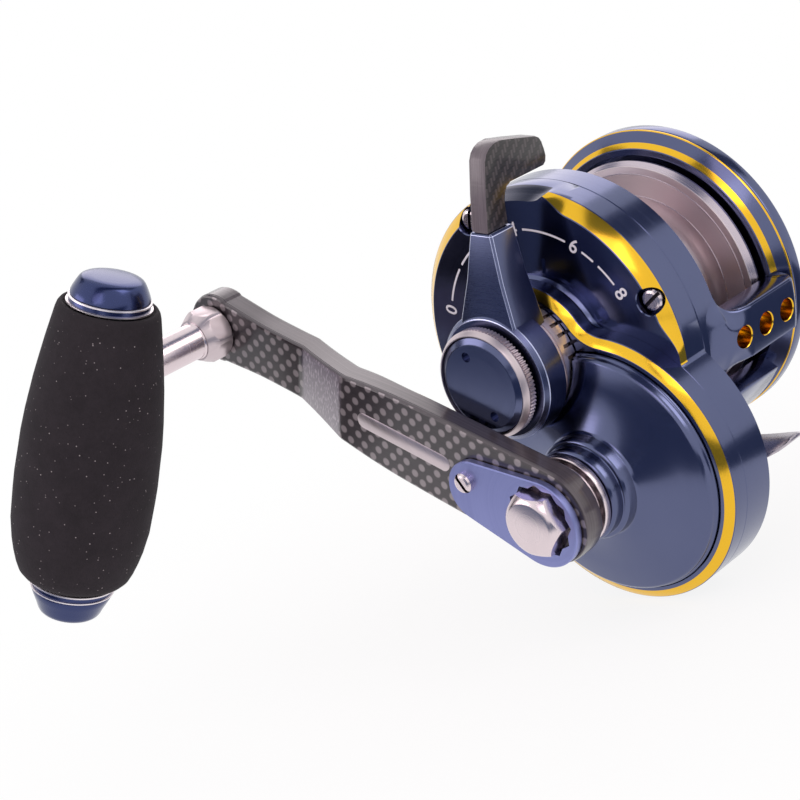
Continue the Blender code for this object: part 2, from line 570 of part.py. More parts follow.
# Drag lever: hub over the cam ring with a tapering deep blade
BLADE_BACK = COVER_TOP + 2.4 * MM
BLADE_FRONT = HUB_FRONT - 1.2 * MM
BLADE_ROOT = CAM_RADIUS + 1.0 * MM
lever = turned("drag_lever", [
    (HUB_FRONT, HUB_RADIUS - 1.2 * MM), (HUB_FRONT - 1.2 * MM, HUB_RADIUS), (HUB_BACK, HUB_RADIUS),
    (HUB_BACK, SHAFT_RADIUS + RUN), (HUB_FRONT, SHAFT_RADIUS + RUN)], NAVY, lever_axis, STEPS_MEDIUM)
join(lever, plate("lever_blade", [[
    (BLADE_ROOT, -6.8 * MM), (LEVER_REACH, -2.8 * MM), (LEVER_REACH, 2.8 * MM), (BLADE_ROOT, 6.8 * MM)]],
    BLADE_BACK, BLADE_FRONT, None, lever_axis))

# Lever tip: hooked carbon plate that reaches back over the rim
TIP_FOOT = LEVER_REACH + GAP
TIP_LOW = RING_RADIUS + 4.2 * MM
TIP_OUT = BLADE_FRONT - 1.0 * MM
TIP_LEG = BLADE_BACK + 0.7 * MM
TIP_TOP = TIP_LOW + 8.9 * MM
TIP_IN = DIAL_FACE - 5.6 * MM
tip = plate("lever_tip", [[
    (TIP_OUT, TIP_FOOT), (TIP_OUT - 2.2 * MM, TIP_TOP - 2.6 * MM), (TIP_OUT - 4.0 * MM, TIP_TOP - 0.6 * MM),
    (TIP_OUT - 7.3 * MM, TIP_TOP), (TIP_IN + 2.3 * MM, TIP_TOP - 2.5 * MM), (TIP_IN + 0.8 * MM, TIP_TOP - 3.8 * MM),
    (TIP_IN, TIP_LOW + 1.7 * MM), (TIP_IN + 1.1 * MM, TIP_LOW), (TIP_LEG - 2.4 * MM, TIP_LOW),
    (TIP_LEG - 0.5 * MM, TIP_LOW - 1.5 * MM), (TIP_LEG, TIP_LOW - 4 * MM), (TIP_LEG, TIP_FOOT)]],
    -TIP_THICK / 2, TIP_THICK / 2, CARBON, lever_axis)
tip.rotation_euler = (0, 0, 0)
tip.location = (0, 0, 0)


# Preset knob on the end of the spool shaft: navy core in a knurled ring
CORE_RADIUS = 9.4 * MM
KNURL_RADIUS = 11.2 * MM
SHAFT_POCKET = SHAFT_FRONT + GAP
core = turned("preset_cap", [
    (PRESET_FRONT, 0), (PRESET_FRONT, CORE_RADIUS - 0.7 * MM), (PRESET_FRONT - 0.6 * MM, CORE_RADIUS),
    (PRESET_BACK, CORE_RADIUS), (PRESET_BACK, SHAFT_RADIUS + GAP), (SHAFT_POCKET, SHAFT_RADIUS + GAP),
    (SHAFT_POCKET, 0)], NAVY, spool_axis, STEPS_MEDIUM)
for number, side in enumerate((-1, 1)):
    cut(core, rod("spanner_dimple_%d" % (number + 1), PRESET_FRONT - 0.7 * MM, PRESET_FRONT + MM, 0.9 * MM,
                  None, spool_axis, 10, (side * 5 * MM, 0)))
RIDGES = 30
knurl = []
for ridge in range(RIDGES):
    for part, r in ((0.0, KNURL_RADIUS), (0.45, KNURL_RADIUS), (0.6, KNURL_RADIUS - 0.5 * MM),
                    (0.85, KNURL_RADIUS - 0.5 * MM)):
        a = 2 * pi * (ridge + part) / RIDGES
        knurl.append((r * cos(a), r * sin(a)))
plate("preset_ring", [knurl, circle(CORE_RADIUS + GAP, STEPS_MEDIUM)], PRESET_BACK, PRESET_FRONT - 0.7 * MM,
      STEEL, spool_axis)


# Drive shaft and main gear
THREAD = 3.6 * MM
NUT_FRONT = ARM_FRONT + 5.4 * MM
turned("drive_shaft", [
    (NUT_FRONT - 0.5 * MM, 0), (NUT_FRONT - 0.5 * MM, THREAD), (ARM_FRONT, THREAD), (ARM_FRONT, DRIVE_RADIUS),
    (GEAR_BACK - 0.2 * MM, DRIVE_RADIUS), (GEAR_BACK - 0.2 * MM, SHAFT_RADIUS),
    (CASE_FLOOR + 0.5 * MM, SHAFT_RADIUS), (CASE_FLOOR + 0.5 * MM, 0)], STEEL, gear_axis, STEPS_SLIM)
plate("main_gear", [spur(GEAR_TEETH, GEAR_ANGLE + pi), circle(DRIVE_RADIUS + GAP, STEPS_SLIM)],
      GEAR_BACK, GEAR_FRONT, BRONZE, gear_axis)
ring("shaft_collar", BOSS_END + RUN, ARM_BACK - GAP, DRIVE_RADIUS + GAP, CLUTCH_RADIUS - 0.2 * MM,
     STEEL, gear_axis, STEPS_MEDIUM)


# Handle arm: thick carbon bar, cranked towards the body on its way to the knob
ARM_HUB = 10.2 * MM
ARM_EYE = 7.5 * MM
ARM_SOFT = 0.5 * MM
arm_line = []
for step in range(6):
    a = radians(12 + 14.7 * step)
    arm_line.append((-ARM_HUB * cos(a), ARM_HUB * sin(a), 0))
for share, half, drop in ((0.16, 10.0, 0.0), (0.31, 9.8, 0.0), (0.44, 9.4, 0.0), (0.55, 8.2, 0.0), (0.60, 7.5, 0.28),
                          (0.66, 6.9, 0.72), (0.71, 6.6, 1.0), (0.82, 6.3, 1.0), (0.90, 6.4, 1.0)):
    arm_line.append((ARM_LENGTH * share, half * MM, drop))
for step in range(6):
    a = radians(108 - 19.2 * step)
    arm_line.append((ARM_LENGTH + ARM_EYE * cos(a), ARM_EYE * sin(a), 1.0))
sections = []
for y, half, drop in arm_line:
    back = ARM_BACK - ARM_DROP * drop
    front = ARM_FRONT - ARM_DROP * drop
    c = ARM_SOFT
    sections.append([(back, y, c - half), (back + c, y, -half), (front - c, y, -half), (front, y, c - half),
                     (front, y, half - c), (front - c, y, half), (back + c, y, half), (back, y, half - c)])
arm = loft("handle_arm", sections, CARBON, crank_arm)
LOCK_SCREW_Y = 18.6 * MM
STUD = 3.2 * MM
cut(arm,
    rod("arm_bore", ARM_BACK - MM, ARM_FRONT + MM, DRIVE_RADIUS + GAP, None, crank_arm),
    rod("eye_bore", EYE_BACK - MM, EYE_FRONT + MM, STUD + GAP, None, crank_arm, STEPS_SLIM, (ARM_LENGTH, 0)),
    rod("lock_hole", ARM_FRONT - 3 * MM, ARM_FRONT + MM, SCREW_SHANK + GAP, None, crank_arm, 12, (LOCK_SCREW_Y, 0)))

# Nut, its lock plate and the lock plate's screw
LOCK_BACK = ARM_FRONT + GAP
LOCK_FRONT = LOCK_BACK + 1.5 * MM
NUT_CORNER = 6.0 * MM / cos(radians(30))
plate("arm_lock_plate", [belt(9.2 * MM, 6.6 * MM, LOCK_SCREW_Y - 2.2 * MM), circle(NUT_CORNER + GAP, STEPS_SLIM),
                         circle(SCREW_SHANK + GAP, 12, (LOCK_SCREW_Y, 0))], LOCK_BACK, LOCK_FRONT, NAVY, crank_arm)
plate("handle_nut", [circle(NUT_CORNER, 6), circle(THREAD + GAP, STEPS_SLIM)], LOCK_BACK, NUT_FRONT, STEEL, crank_arm)
turned("lock_plate_screw", [
    (LOCK_FRONT + GAP + 1.2 * MM, 0), (LOCK_FRONT + GAP + 1.2 * MM, SCREW_HEAD), (LOCK_FRONT + GAP, SCREW_HEAD),
    (LOCK_FRONT + GAP, SCREW_SHANK), (ARM_FRONT - 2.6 * MM, SCREW_SHANK), (ARM_FRONT - 2.6 * MM, 0)],
    STEEL, crank_arm, 12, (LOCK_SCREW_Y, 0))

# Knob spindle: flats at the arm, then a plain pin that carries the knob's bearings
SLEEVE_BACK = KNOB_X - 14.2 * MM
FLATS_FRONT = EYE_FRONT + 7.0 * MM
spindle = turned("knob_spindle", [
    (KNOB_X - 1.5 * MM, 0), (KNOB_X - 1.5 * MM, SPINDLE_RADIUS), (SLEEVE_BACK - GAP, SPINDLE_RADIUS),
    (SLEEVE_BACK - GAP, SPINDLE_RADIUS + MM), (EYE_FRONT + GAP, SPINDLE_RADIUS + MM), (EYE_FRONT + GAP, STUD),
    (EYE_BACK + GAP, STUD), (EYE_BACK + GAP, 0)], STEEL, crank_arm, STEPS_SLIM, (ARM_LENGTH, 0))
flats = plate("spindle_flats", [circle(5.5 * MM / cos(radians(30)), 6, (ARM_LENGTH, 0))],
              EYE_FRONT + GAP, FLATS_FRONT, None, crank_arm)
join(spindle, flats)
rod("spindle_screw", KNOB_X - 1.2 * MM, KNOB_X + 0.8 * MM, SPINDLE_RADIUS + 1.4 * MM, STEEL, crank_arm, 16,
    (ARM_LENGTH, 0))


# Knob: foam barrel on a T-shaped core, with a ring and a cap at each end.
# The barrel runs near the knob axis's own Y, canted, and the spindle crosses it off its middle.
def along_grip(piece):
    piece.rotation_euler = (-pi / 2, 0, KNOB_TILT)
    piece.location = (KNOB_X, 0, 0)
    return piece


CORE_ROD = 5.8 * MM
SLEEVE = 7.0 * MM
SLEEVE_BORE = 5.3 * MM
SLEEVE_FRONT = KNOB_X + 6.5 * MM
WAIST = GRIP_RADIUS - GRIP_END
grip = along_grip(turned("grip", [
    (GRIP_UP, GRIP_END - 1.3 * MM), (GRIP_UP - 1.1 * MM, GRIP_END), (GRIP_UP * 0.58, GRIP_END + 0.40 * WAIST),
    (GRIP_UP * 0.08, GRIP_END + 0.69 * WAIST), (-GRIP_DOWN * 0.13, GRIP_END + 0.88 * WAIST),
    (-GRIP_DOWN * 0.32, GRIP_END + 0.985 * WAIST), (-GRIP_DOWN * 0.48, GRIP_RADIUS),
    (-GRIP_DOWN * 0.64, GRIP_END + 0.93 * WAIST), (-GRIP_DOWN * 0.79, GRIP_END + 0.73 * WAIST),
    (-GRIP_DOWN * 0.91, GRIP_END + 0.43 * WAIST), (-GRIP_DOWN * 0.975, GRIP_END), (-GRIP_DOWN, GRIP_END - 1.3 * MM),
    (-GRIP_DOWN, CORE_ROD + GAP), (GRIP_UP, CORE_ROD + GAP)], FOAM, knob_axis, STEPS_MEDIUM))
cut(grip, rod("grip_hole", KNOB_X - 2 * GRIP_RADIUS, SLEEVE_FRONT + GAP, SLEEVE + GAP, None, knob_axis))
CAP_LONG = 5.6 * MM
RING_LONG = 0.8 * MM
CORE_OUT = RING_LONG + 2 * GAP + 2.4 * MM
knob_core = along_grip(rod("knob_core", -GRIP_DOWN - CORE_OUT, GRIP_UP + CORE_OUT, CORE_ROD, STEEL, knob_axis))
join(knob_core, rod("core_sleeve", SLEEVE_BACK, SLEEVE_FRONT, SLEEVE, None, knob_axis))
cut(knob_core, rod("core_bore", SLEEVE_BACK - MM, KNOB_X + 4.5 * MM, SLEEVE_BORE, None, knob_axis))
for name, back in (("knob_bearing_inner", SLEEVE_BACK + GAP), ("knob_bearing_outer", KNOB_X - 5 * MM)):
    ring(name, back, back + 3 * MM, SPINDLE_RADIUS + RUN, SLEEVE_BORE - GAP, BEARING, knob_axis, STEPS_SLIM)
END_RADIUS = GRIP_END - 1.5 * MM
for name, end, way in (("upper", GRIP_UP, 1), ("lower", -GRIP_DOWN, -1)):
    base = end + way * (RING_LONG + 2 * GAP)
    loop = [(end + way * GAP, CORE_ROD + GAP), (end + way * GAP, END_RADIUS),
            (end + way * (GAP + RING_LONG), END_RADIUS), (end + way * (GAP + RING_LONG), CORE_ROD + GAP)]
    crown = [(base + way * CAP_LONG, 0), (base + way * CAP_LONG, END_RADIUS - 2.9 * MM),
             (base + way * (CAP_LONG - 0.8 * MM), END_RADIUS - 2.0 * MM), (base, END_RADIUS),
             (base, CORE_ROD + GAP), (base + way * 2.8 * MM, CORE_ROD + GAP), (base + way * 2.8 * MM, 0)]
    if way > 0:
        loop.reverse()
    else:
        crown.reverse()
    along_grip(turned("grip_ring_" + name, loop, STEEL, knob_axis, STEPS_MEDIUM))
    along_grip(turned("grip_cap_" + name, crown, NAVY, knob_axis, STEPS_MEDIUM))
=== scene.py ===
from math import acos, asin, atan2, cos, hypot, pi, radians, sin, sqrt

import bmesh
import bpy
from mathutils import Matrix, Vector


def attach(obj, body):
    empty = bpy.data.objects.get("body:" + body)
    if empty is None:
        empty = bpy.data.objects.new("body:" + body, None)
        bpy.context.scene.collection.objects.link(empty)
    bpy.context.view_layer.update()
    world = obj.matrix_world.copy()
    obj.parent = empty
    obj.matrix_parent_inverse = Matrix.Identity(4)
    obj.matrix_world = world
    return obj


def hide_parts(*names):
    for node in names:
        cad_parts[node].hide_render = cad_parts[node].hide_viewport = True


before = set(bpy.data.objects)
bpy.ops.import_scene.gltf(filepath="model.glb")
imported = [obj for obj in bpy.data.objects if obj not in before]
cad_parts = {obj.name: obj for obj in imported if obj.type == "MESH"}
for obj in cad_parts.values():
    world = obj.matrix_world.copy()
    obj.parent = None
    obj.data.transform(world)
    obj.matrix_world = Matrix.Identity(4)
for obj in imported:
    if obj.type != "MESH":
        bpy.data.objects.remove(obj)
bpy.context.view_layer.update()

# Studio: a white paper sweep under the reel, a white tent around it and four soft boxes.
# Grey cards that only reflections see give the polished metal its dark bands, as in a photo studio.
# This section is in metres, and the pieces of the reel after it are in millimetres.


# Adds a node with its settings, and sets or links its sockets. By number, a Mix takes its share at 0
# and two colours at 6 and 7, and a Map Range its value at 0, what it reads at 1, 2 and gives at 3, 4.
def node(tree, kind, sockets, **settings):
    made = tree.nodes.new("ShaderNode" + kind)
    for name, value in settings.items():
        setattr(made, name, value)
    for socket, value in sockets.items():
        if isinstance(value, bpy.types.NodeSocket):
            tree.links.new(value, made.inputs[socket])
        else:
            made.inputs[socket].default_value = value
    return made


# Turns an sRGB hex value to linear light.
def linear(code):
    parts = [int(code[i:i + 2], 16) / 255 for i in (1, 3, 5)]
    return tuple(c / 12.92 if c < 0.04045 else ((c + 0.055) / 1.055) ** 2.4 for c in parts) + (1.0,)


# Gives 1 to what the camera sees, also mirrored or through glass, and 0 to what lights the reel.
def studio_share(tree):
    path = node(tree, "LightPath", {})
    first = node(tree, "Math", {0: path.outputs["Is Camera Ray"], 1: path.outputs["Is Glossy Ray"]},
                 operation="MAXIMUM")
    return node(tree, "Math", {0: first.outputs[0], 1: path.outputs["Is Transmission Ray"]},
                operation="MAXIMUM").outputs[0]


world = bpy.data.worlds.new("white_tent")
bpy.context.scene.world = world
world.use_nodes = True
tent = world.node_tree
tent.nodes.clear()
tent_light = node(tent, "Background", {"Color": linear("#fff8f9"), "Strength": 0.7})
tent_seen = node(tent, "Background", {"Color": linear("#ffffff"), "Strength": 1.0})
tent_mix = node(tent, "MixShader", {0: studio_share(tent), 1: tent_light.outputs[0],
                                    2: tent_seen.outputs[0]})
node(tent, "OutputWorld", {"Surface": tent_mix.outputs[0]})

# White paper sweep: plain white to the eye, and matt close to the reel, where it keeps the shadow.
# Clumps of fibre about 1.1 mm wide tint it a little.
PAPER_CLUMPS = 900.0
SHADOW_AT, SHADOW_NEAR, SHADOW_FAR, WHITE_NEAR = (0.02, -0.01, 0), 0.05, 0.18, 0.86
paper = bpy.data.materials.new("white_paper_sweep")
paper.use_nodes = True
tree = paper.node_tree
tree.nodes.clear()
paper_place = node(tree, "TexCoord", {}).outputs["Object"]
paper_grain = node(tree, "TexNoise", {"Vector": paper_place, "Scale": PAPER_CLUMPS})
paper_tone = node(tree, "Mix", {0: paper_grain.outputs["Fac"], 6: linear("#fbf6f8"), 7: linear("#fffcfd")},
                  data_type="RGBA")
paper_face = node(tree, "BsdfDiffuse", {"Color": paper_tone.outputs[2]})
paper_seen = node(tree, "Emission", {"Color": linear("#ffffff"), "Strength": 1.0})
paper_far = node(tree, "VectorMath", {0: paper_place, 1: SHADOW_AT}, operation="DISTANCE")
paper_fade = node(tree, "MapRange", {0: paper_far.outputs["Value"], 1: SHADOW_NEAR, 2: SHADOW_FAR,
                                     3: WHITE_NEAR, 4: 1.0})
paper_part = node(tree, "Math", {0: studio_share(tree), 1: paper_fade.outputs[0]}, operation="MULTIPLY")
paper_mix = node(tree, "MixShader", {0: paper_part.outputs[0], 1: paper_face.outputs[0],
                                     2: paper_seen.outputs[0]})
node(tree, "OutputMaterial", {"Surface": paper_mix.outputs[0]})

# Matt grey card: a dull blue grey that polished metal mirrors as a dark band, in blotches of about 33 mm.
CARD_BLOTCHES = 30.0
grey_card = bpy.data.materials.new("matt_grey_card")
grey_card.use_nodes = True
tree = grey_card.node_tree
tree.nodes.clear()
card_place = node(tree, "TexCoord", {}).outputs["Object"]
card_grain = node(tree, "TexNoise", {"Vector": card_place, "Scale": CARD_BLOTCHES})
card_tone = node(tree, "Mix", {0: card_grain.outputs["Fac"], 6: linear("#5e6c84"), 7: linear("#667590")},
                 data_type="RGBA")
card_face = node(tree, "BsdfDiffuse", {"Color": card_tone.outputs[2]})
node(tree, "OutputMaterial", {"Surface": card_face.outputs[0]})

for name, look, place, wide, high, lean, turn in (
        ("paper_floor", paper, (0, 0, -0.0195), 6.0, 6.0, 0, 0),
        ("floor_card", grey_card, (0.334, 0.027, -0.019), 0.40, 1.10, 0, 21.6),
        ("left_card", grey_card, (0.52, -0.52, 0.055), 0.15, 0.60, 90, -45),
        ("front_card", grey_card, (0.60, -0.10, 0.05), 0.14, 0.50, 90, 0),
        ("high_left_card", grey_card, (0.06, -0.58, 0.62), 0.34, 0.30, 0, 0),
        ("right_floor_card", grey_card, (-0.10, 0.14, -0.019), 0.14, 0.17, 0, 0),
        ("overhead_card", grey_card, (0.20, 0.29, 0.72), 2.60, 0.38, 0, -3)):
    work = bmesh.new()
    bmesh.ops.create_grid(work, x_segments=2, y_segments=2, size=0.5)
    bmesh.ops.scale(work, vec=(wide, high, 1), verts=work.verts)
    tilt = Matrix.Rotation(radians(turn), 3, "Z") @ Matrix.Rotation(radians(lean), 3, "Y")
    bmesh.ops.rotate(work, matrix=tilt, verts=work.verts)
    bmesh.ops.translate(work, vec=place, verts=work.verts)
    sheet = bpy.data.meshes.new(name)
    work.to_mesh(sheet)
    work.free()
    sheet.materials.append(look)
    board = bpy.data.objects.new(name, sheet)
    bpy.context.scene.collection.objects.link(board)
    if look is grey_card:
        board.visible_camera = board.visible_diffuse = False
        board.visible_shadow = board.visible_transmission = False

for name, place, aim, wide, high, power, tone in (
        ("overhead_softbox", (-0.57, -0.47, 0.58), (0, 0, 0.03), 0.8, 0.5, 1.6, "#fff4f6"),
        ("left_softbox", (0.66, -0.56, 0.42), (0, 0, 0.04), 0.5, 0.35, 1.1, "#fff0f5"),
        ("front_softbox", (0.80, 0.32, 0.55), (0, 0, 0.04), 0.45, 0.35, 0.9, "#fff0f5"),
        ("right_softbox", (-0.30, 0.80, 0.60), (0, 0, 0.04), 0.5, 0.5, 1.8, "#fff6f4")):
    lamp = bpy.data.lights.new(name, "AREA")
    lamp.shape = "RECTANGLE"
    lamp.size, lamp.size_y = wide, high
    lamp.energy = power
    lamp.color = linear(tone)[:3]
    holder = bpy.data.objects.new(name, lamp)
    holder.location = place
    holder.rotation_euler = (Vector(aim) - Vector(place)).to_track_quat("-Z", "Y").to_euler()
    bpy.context.scene.collection.objects.link(holder)

lens = bpy.data.cameras.new("camera")
lens.lens, lens.sensor_width = 85.5, 36.0
lens.clip_start, lens.clip_end = 0.01, 20.0
camera = bpy.data.objects.new("camera", lens)
camera_right, camera_up = (-0.66876, 0.67612, -0.30923), (-0.39132, 0.03355, 0.91967)
camera_back, camera_at = (0.63218, 0.73603, 0.24214), (0.2933, 0.2630, 0.1276)
camera.matrix_world = Matrix([*zip(camera_right, camera_up, camera_back, camera_at), (0, 0, 0, 1)])
bpy.context.scene.collection.objects.link(camera)
bpy.context.scene.camera = camera
bpy.context.scene.view_settings.view_transform = "Standard"


# Frame: one piece of bar aluminium, turned to two rings and milled open between them.
# It is anodised navy, and edges that are cut again afterwards are bright gold.
# The spool's axis runs along x, at this y and z.
SPOOL = (0.0, 35.0)
# The rings and both side plates share a rim, and the rings are open inside a bore.
RIM, RING_BORE = 33.1, 28.3
# Points that are closer than this are one.
WELD = 1e-4
CLOUDS = 60.0


# Metal cut on a lathe: noise over radius and length draws marks round the centre, of a width in
# millimetres, and soft clouds about 17 mm wide tint it. Real marks are finer and wouldn't show.
def turned_metal(name, colour, tint, roughness, centre, coat=0.0, marks=0.22, ridge=0.02):
    made = bpy.data.materials.new(name)
    made.use_nodes = True
    tree = made.node_tree
    shader = tree.nodes["Principled BSDF"]
    place = node(tree, "TexCoord", {}).outputs["Object"]
    across = node(tree, "Mapping", {"Vector": place, "Location": (0, -centre[0] / 1000, -centre[1] / 1000),
                                    "Scale": (0, 1, 1)})
    radius = node(tree, "VectorMath", {0: across.outputs[0]}, operation="LENGTH")
    along = node(tree, "SeparateXYZ", {0: place})
    track = node(tree, "CombineXYZ", {0: radius.outputs["Value"], 1: along.outputs[0]})
    lines = node(tree, "TexNoise", {"Vector": track.outputs[0], "Scale": 1000 / marks, "Detail": 3.0},
                 noise_dimensions="2D")
    cloud = node(tree, "TexNoise", {"Vector": place, "Scale": CLOUDS, "Detail": 2.0})
    tone = node(tree, "Mix", {0: cloud.outputs["Fac"], 6: linear(colour), 7: linear(tint)}, data_type="RGBA")
    gloss = node(tree, "MapRange", {0: lines.outputs["Fac"], 1: 0.3, 2: 0.7, 3: roughness * 0.85,
                                    4: roughness * 1.15})
    bump = node(tree, "Bump", {"Height": lines.outputs["Fac"], "Strength": ridge, "Distance": 0.00002})
    for socket, value in (("Base Color", tone.outputs[2]), ("Roughness", gloss.outputs[0]),
                          ("Normal", bump.outputs[0])):
        tree.links.new(value, shader.inputs[socket])
    shader.inputs["Metallic"].default_value = 1.0
    shader.inputs["Coat Weight"].default_value = coat
    shader.inputs["Coat Roughness"].default_value = 0.10
    return made


# Turned navy anodising: a blue dye under a clear oxide skin, so bright surroundings
# turn it lavender and dark ones nearly black, with faint lathe marks round the axis.
navy_spool = turned_metal("navy_anodised_turned", "#575d7e", "#5f6585", 0.19, SPOOL, 0.2)
# Gold cut edge: bare cut with a clear gold anodising, bright yellow in light and amber in shade.
gold_edge = turned_metal("gold_cut_edge", "#f4c33c", "#eab42c", 0.16, SPOOL)


# The y and z of a point at a radius and an angle about an axis.
def around(radius, angle, at=SPOOL):
    return at[0] + radius * cos(angle), at[1] + radius * sin(angle)


# How far a point lies from an axis.
def off_axis(point, at=SPOOL):
    return hypot(point.y - at[0], point.z - at[1])


# Turns a profile of x and radius about an axis. An open profile begins and ends on the axis.
def spun(work, profile, at=SPOOL, steps=192, closed=True):
    points = [work.verts.new((x, at[0], at[1] + r)) for x, r in profile]
    edges = [work.edges.new(pair) for pair in zip(points, points[1:])]
    if closed:
        edges.append(work.edges.new((points[-1], points[0])))
    bmesh.ops.spin(work, geom=points + edges, cent=(0, *at), axis=(1, 0, 0), angle=2 * pi, steps=steps,
                   use_merge=True)
    bmesh.ops.remove_doubles(work, verts=work.verts, dist=WELD)
    bmesh.ops.recalc_face_normals(work, faces=work.faces)


# Bevels the edges that turn by more than the least angle, in a look of their own where one is named.
def soften(work, width, segments=2, least=25, look=-1):
    bmesh.ops.remove_doubles(work, verts=work.verts, dist=WELD)
    bmesh.ops.recalc_face_normals(work, faces=work.faces)
    sharp = [e for e in work.edges if len(e.link_faces) == 2 and e.calc_face_angle(0) > radians(least)]
    bmesh.ops.bevel(work, geom=sharp, offset=width, offset_type="OFFSET", segments=segments, profile=0.5,
                    affect="EDGES", clamp_overlap=True, material=look)


# Gives a look to the faces whose centre passes the test.
def paint(work, index, test):
    for face in work.faces:
        if test(face.calc_center_median()):
            face.material_index = index


# Bridges a row of loops, and caps its ends or joins the last loop to the first.
def stack(work, loops, closed=False):
    rows = []
    for loop in loops:
        points = [work.verts.new(p) for p in loop]
        rows.append([work.edges.new((points[i - 1], points[i])) for i in range(len(points))])
    for low, high in zip(rows, rows[1:] + (rows[:1] if closed else [])):
        bmesh.ops.bridge_loops(work, edges=low + high)
    if not closed:
        for end in (rows[0], rows[-1]):
            bmesh.ops.contextual_create(work, geom=end)
    bmesh.ops.recalc_face_normals(work, faces=work.faces)


# Makes an object in metres of a mesh in millimetres.
def solid(name, work, looks):
    bmesh.ops.remove_doubles(work, verts=work.verts, dist=WELD)
    bmesh.ops.recalc_face_normals(work, faces=work.faces)
    bmesh.ops.scale(work, vec=(0.001, 0.001, 0.001), verts=work.verts)
    mesh = bpy.data.meshes.new(name)
    work.to_mesh(mesh)
    work.free()
    for look in looks:
        mesh.materials.append(look)
    made = bpy.data.objects.new(name, mesh)
    bpy.context.scene.collection.objects.link(made)
    return made


# Cuts a piece by others, which are used up. The cut faces keep the cutter's look.
def carve(piece, cutters, operation="DIFFERENCE"):
    for cutter in cutters:
        step = piece.modifiers.new("carve", "BOOLEAN")
        step.operation, step.solver, step.material_mode = operation, "EXACT", "TRANSFER"
        step.object = cutter
    ready = piece.evaluated_get(bpy.context.evaluated_depsgraph_get())
    mesh = bpy.data.meshes.new_from_object(ready)
    piece.modifiers.clear()
    piece.data = mesh
    for cutter in cutters:
        bpy.data.objects.remove(cutter)
    return piece


# Puts a finished piece on its body, in place of the solids it dresses. Its slot is not used.
def fit(piece, body, slot, *nodes, smooth=32):
    piece.data.shade_smooth()
    piece.data.set_sharp_from_angle(angle=radians(smooth))
    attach(piece, body)
    if nodes:
        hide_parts(*nodes)
    return piece


# A cutter for a round hole along x, with a countersink at a face where one is given.
def drill(x0, x1, radius, at, look, steps=48, sink=0.0, face=0.0):
    profile = [(x0, 0), (x0, radius), (x1, radius), (x1, 0)]
    if sink:
        profile[2:3] = [(face - sink, radius), (face, radius + sink), (x1, radius + sink + x1 - face)]
    hole = bmesh.new()
    spun(hole, profile, at, steps, False)
    return solid("drill", hole, [look])


# A smooth step from 0 to 1.
def ease(t):
    t = min(1.0, max(0.0, t))
    return t * t * (3 - 2 * t)


work = bmesh.new()
spun(work, [(17.7, 32.95), (17.55, RIM), (11.6, RIM), (11.5, 33.0), (11.5, RING_BORE), (17.7, RING_BORE)])
fit(solid("frame_ring_right", work, [navy_spool]), "body", "navy_anodised", "frame")
work = bmesh.new()
spun(work, [(-12.2, RING_BORE), (-12.2, 29.55), (-12.35, 29.75), (-13.3, 30.75), (-14.55, 32.85),
            (-14.7, 33.05), (-14.9, 33.05), (-14.9, RING_BORE)], SPOOL, 240)
# The gold on the left ring's inner edge stops above the pillars, along a slant.
paint(work, 1, lambda c: -13.25 < c.x < -12.3 and c.z > 37.4 - 6 * (-12.25 - c.x))
paint(work, 1, lambda c: c.x < -14.6 and off_axis(c) > 32.9)
fit(solid("frame_ring_left", work, [navy_spool, gold_edge]), "body", "navy_anodised")

# Pillars: their edges in degrees about the spool, and the faces of the rings that they join.
PILLAR_TOP, PILLAR_LOW = -2.6, -21.0
LEFT_FACE, RIGHT_FACE = -12.2, 11.5
LEFT_FILLET, RIGHT_FILLET = 0.6, 4.6
PILLAR_MIDDLE, PILLAR_REACH = 2.0, 14.4
PILLAR_BACK, PILLAR_SKIN, PILLAR_CROWN = 28.6, 32.95, 2.75


# A point of a pillar, with u along it and v across it from -1 to 1. Fillets widen it at the rings,
# the front one swells to a crown, and the crown sinks into the right ring in one long blend.
def pillar_point(u, v, deep, front):
    x = PILLAR_MIDDLE + PILLAR_REACH * u
    corner = 0.0
    for gap, r in ((RIGHT_FACE - x, RIGHT_FILLET), (x - LEFT_FACE, LEFT_FILLET)):
        if gap < r:
            corner = max(corner, r - sqrt(max(0.0, r * r - (r - max(gap, 0.0)) ** 2)))
    top = PILLAR_TOP + corner * 1.65
    low = PILLAR_LOW - min(corner, 2.0) * 1.2
    angle = radians(low + (top - low) * (v + 1) / 2)
    radius = PILLAR_BACK
    if not deep:
        rise = ease((17.4 - x) / 10.5) * sqrt(max(0.0, 1 - (1 - min(1.0, (x + 12.4) / 2.2)) ** 2))
        ring = ease((x - 4.5) / 9.5)
        rise *= 1 - ring + ring * ease((1 - abs(v)) / 0.75)
        lip = 0.55 * ease((v - 0.93) / 0.07) + 0.9 * ease((-0.86 - v) / 0.14)
        radius = PILLAR_SKIN + (PILLAR_CROWN * rise if front > 0 else 0.1) - lip * (1 - ring)
    y, z = around(radius, angle)
    return Vector((x, front * y, z))


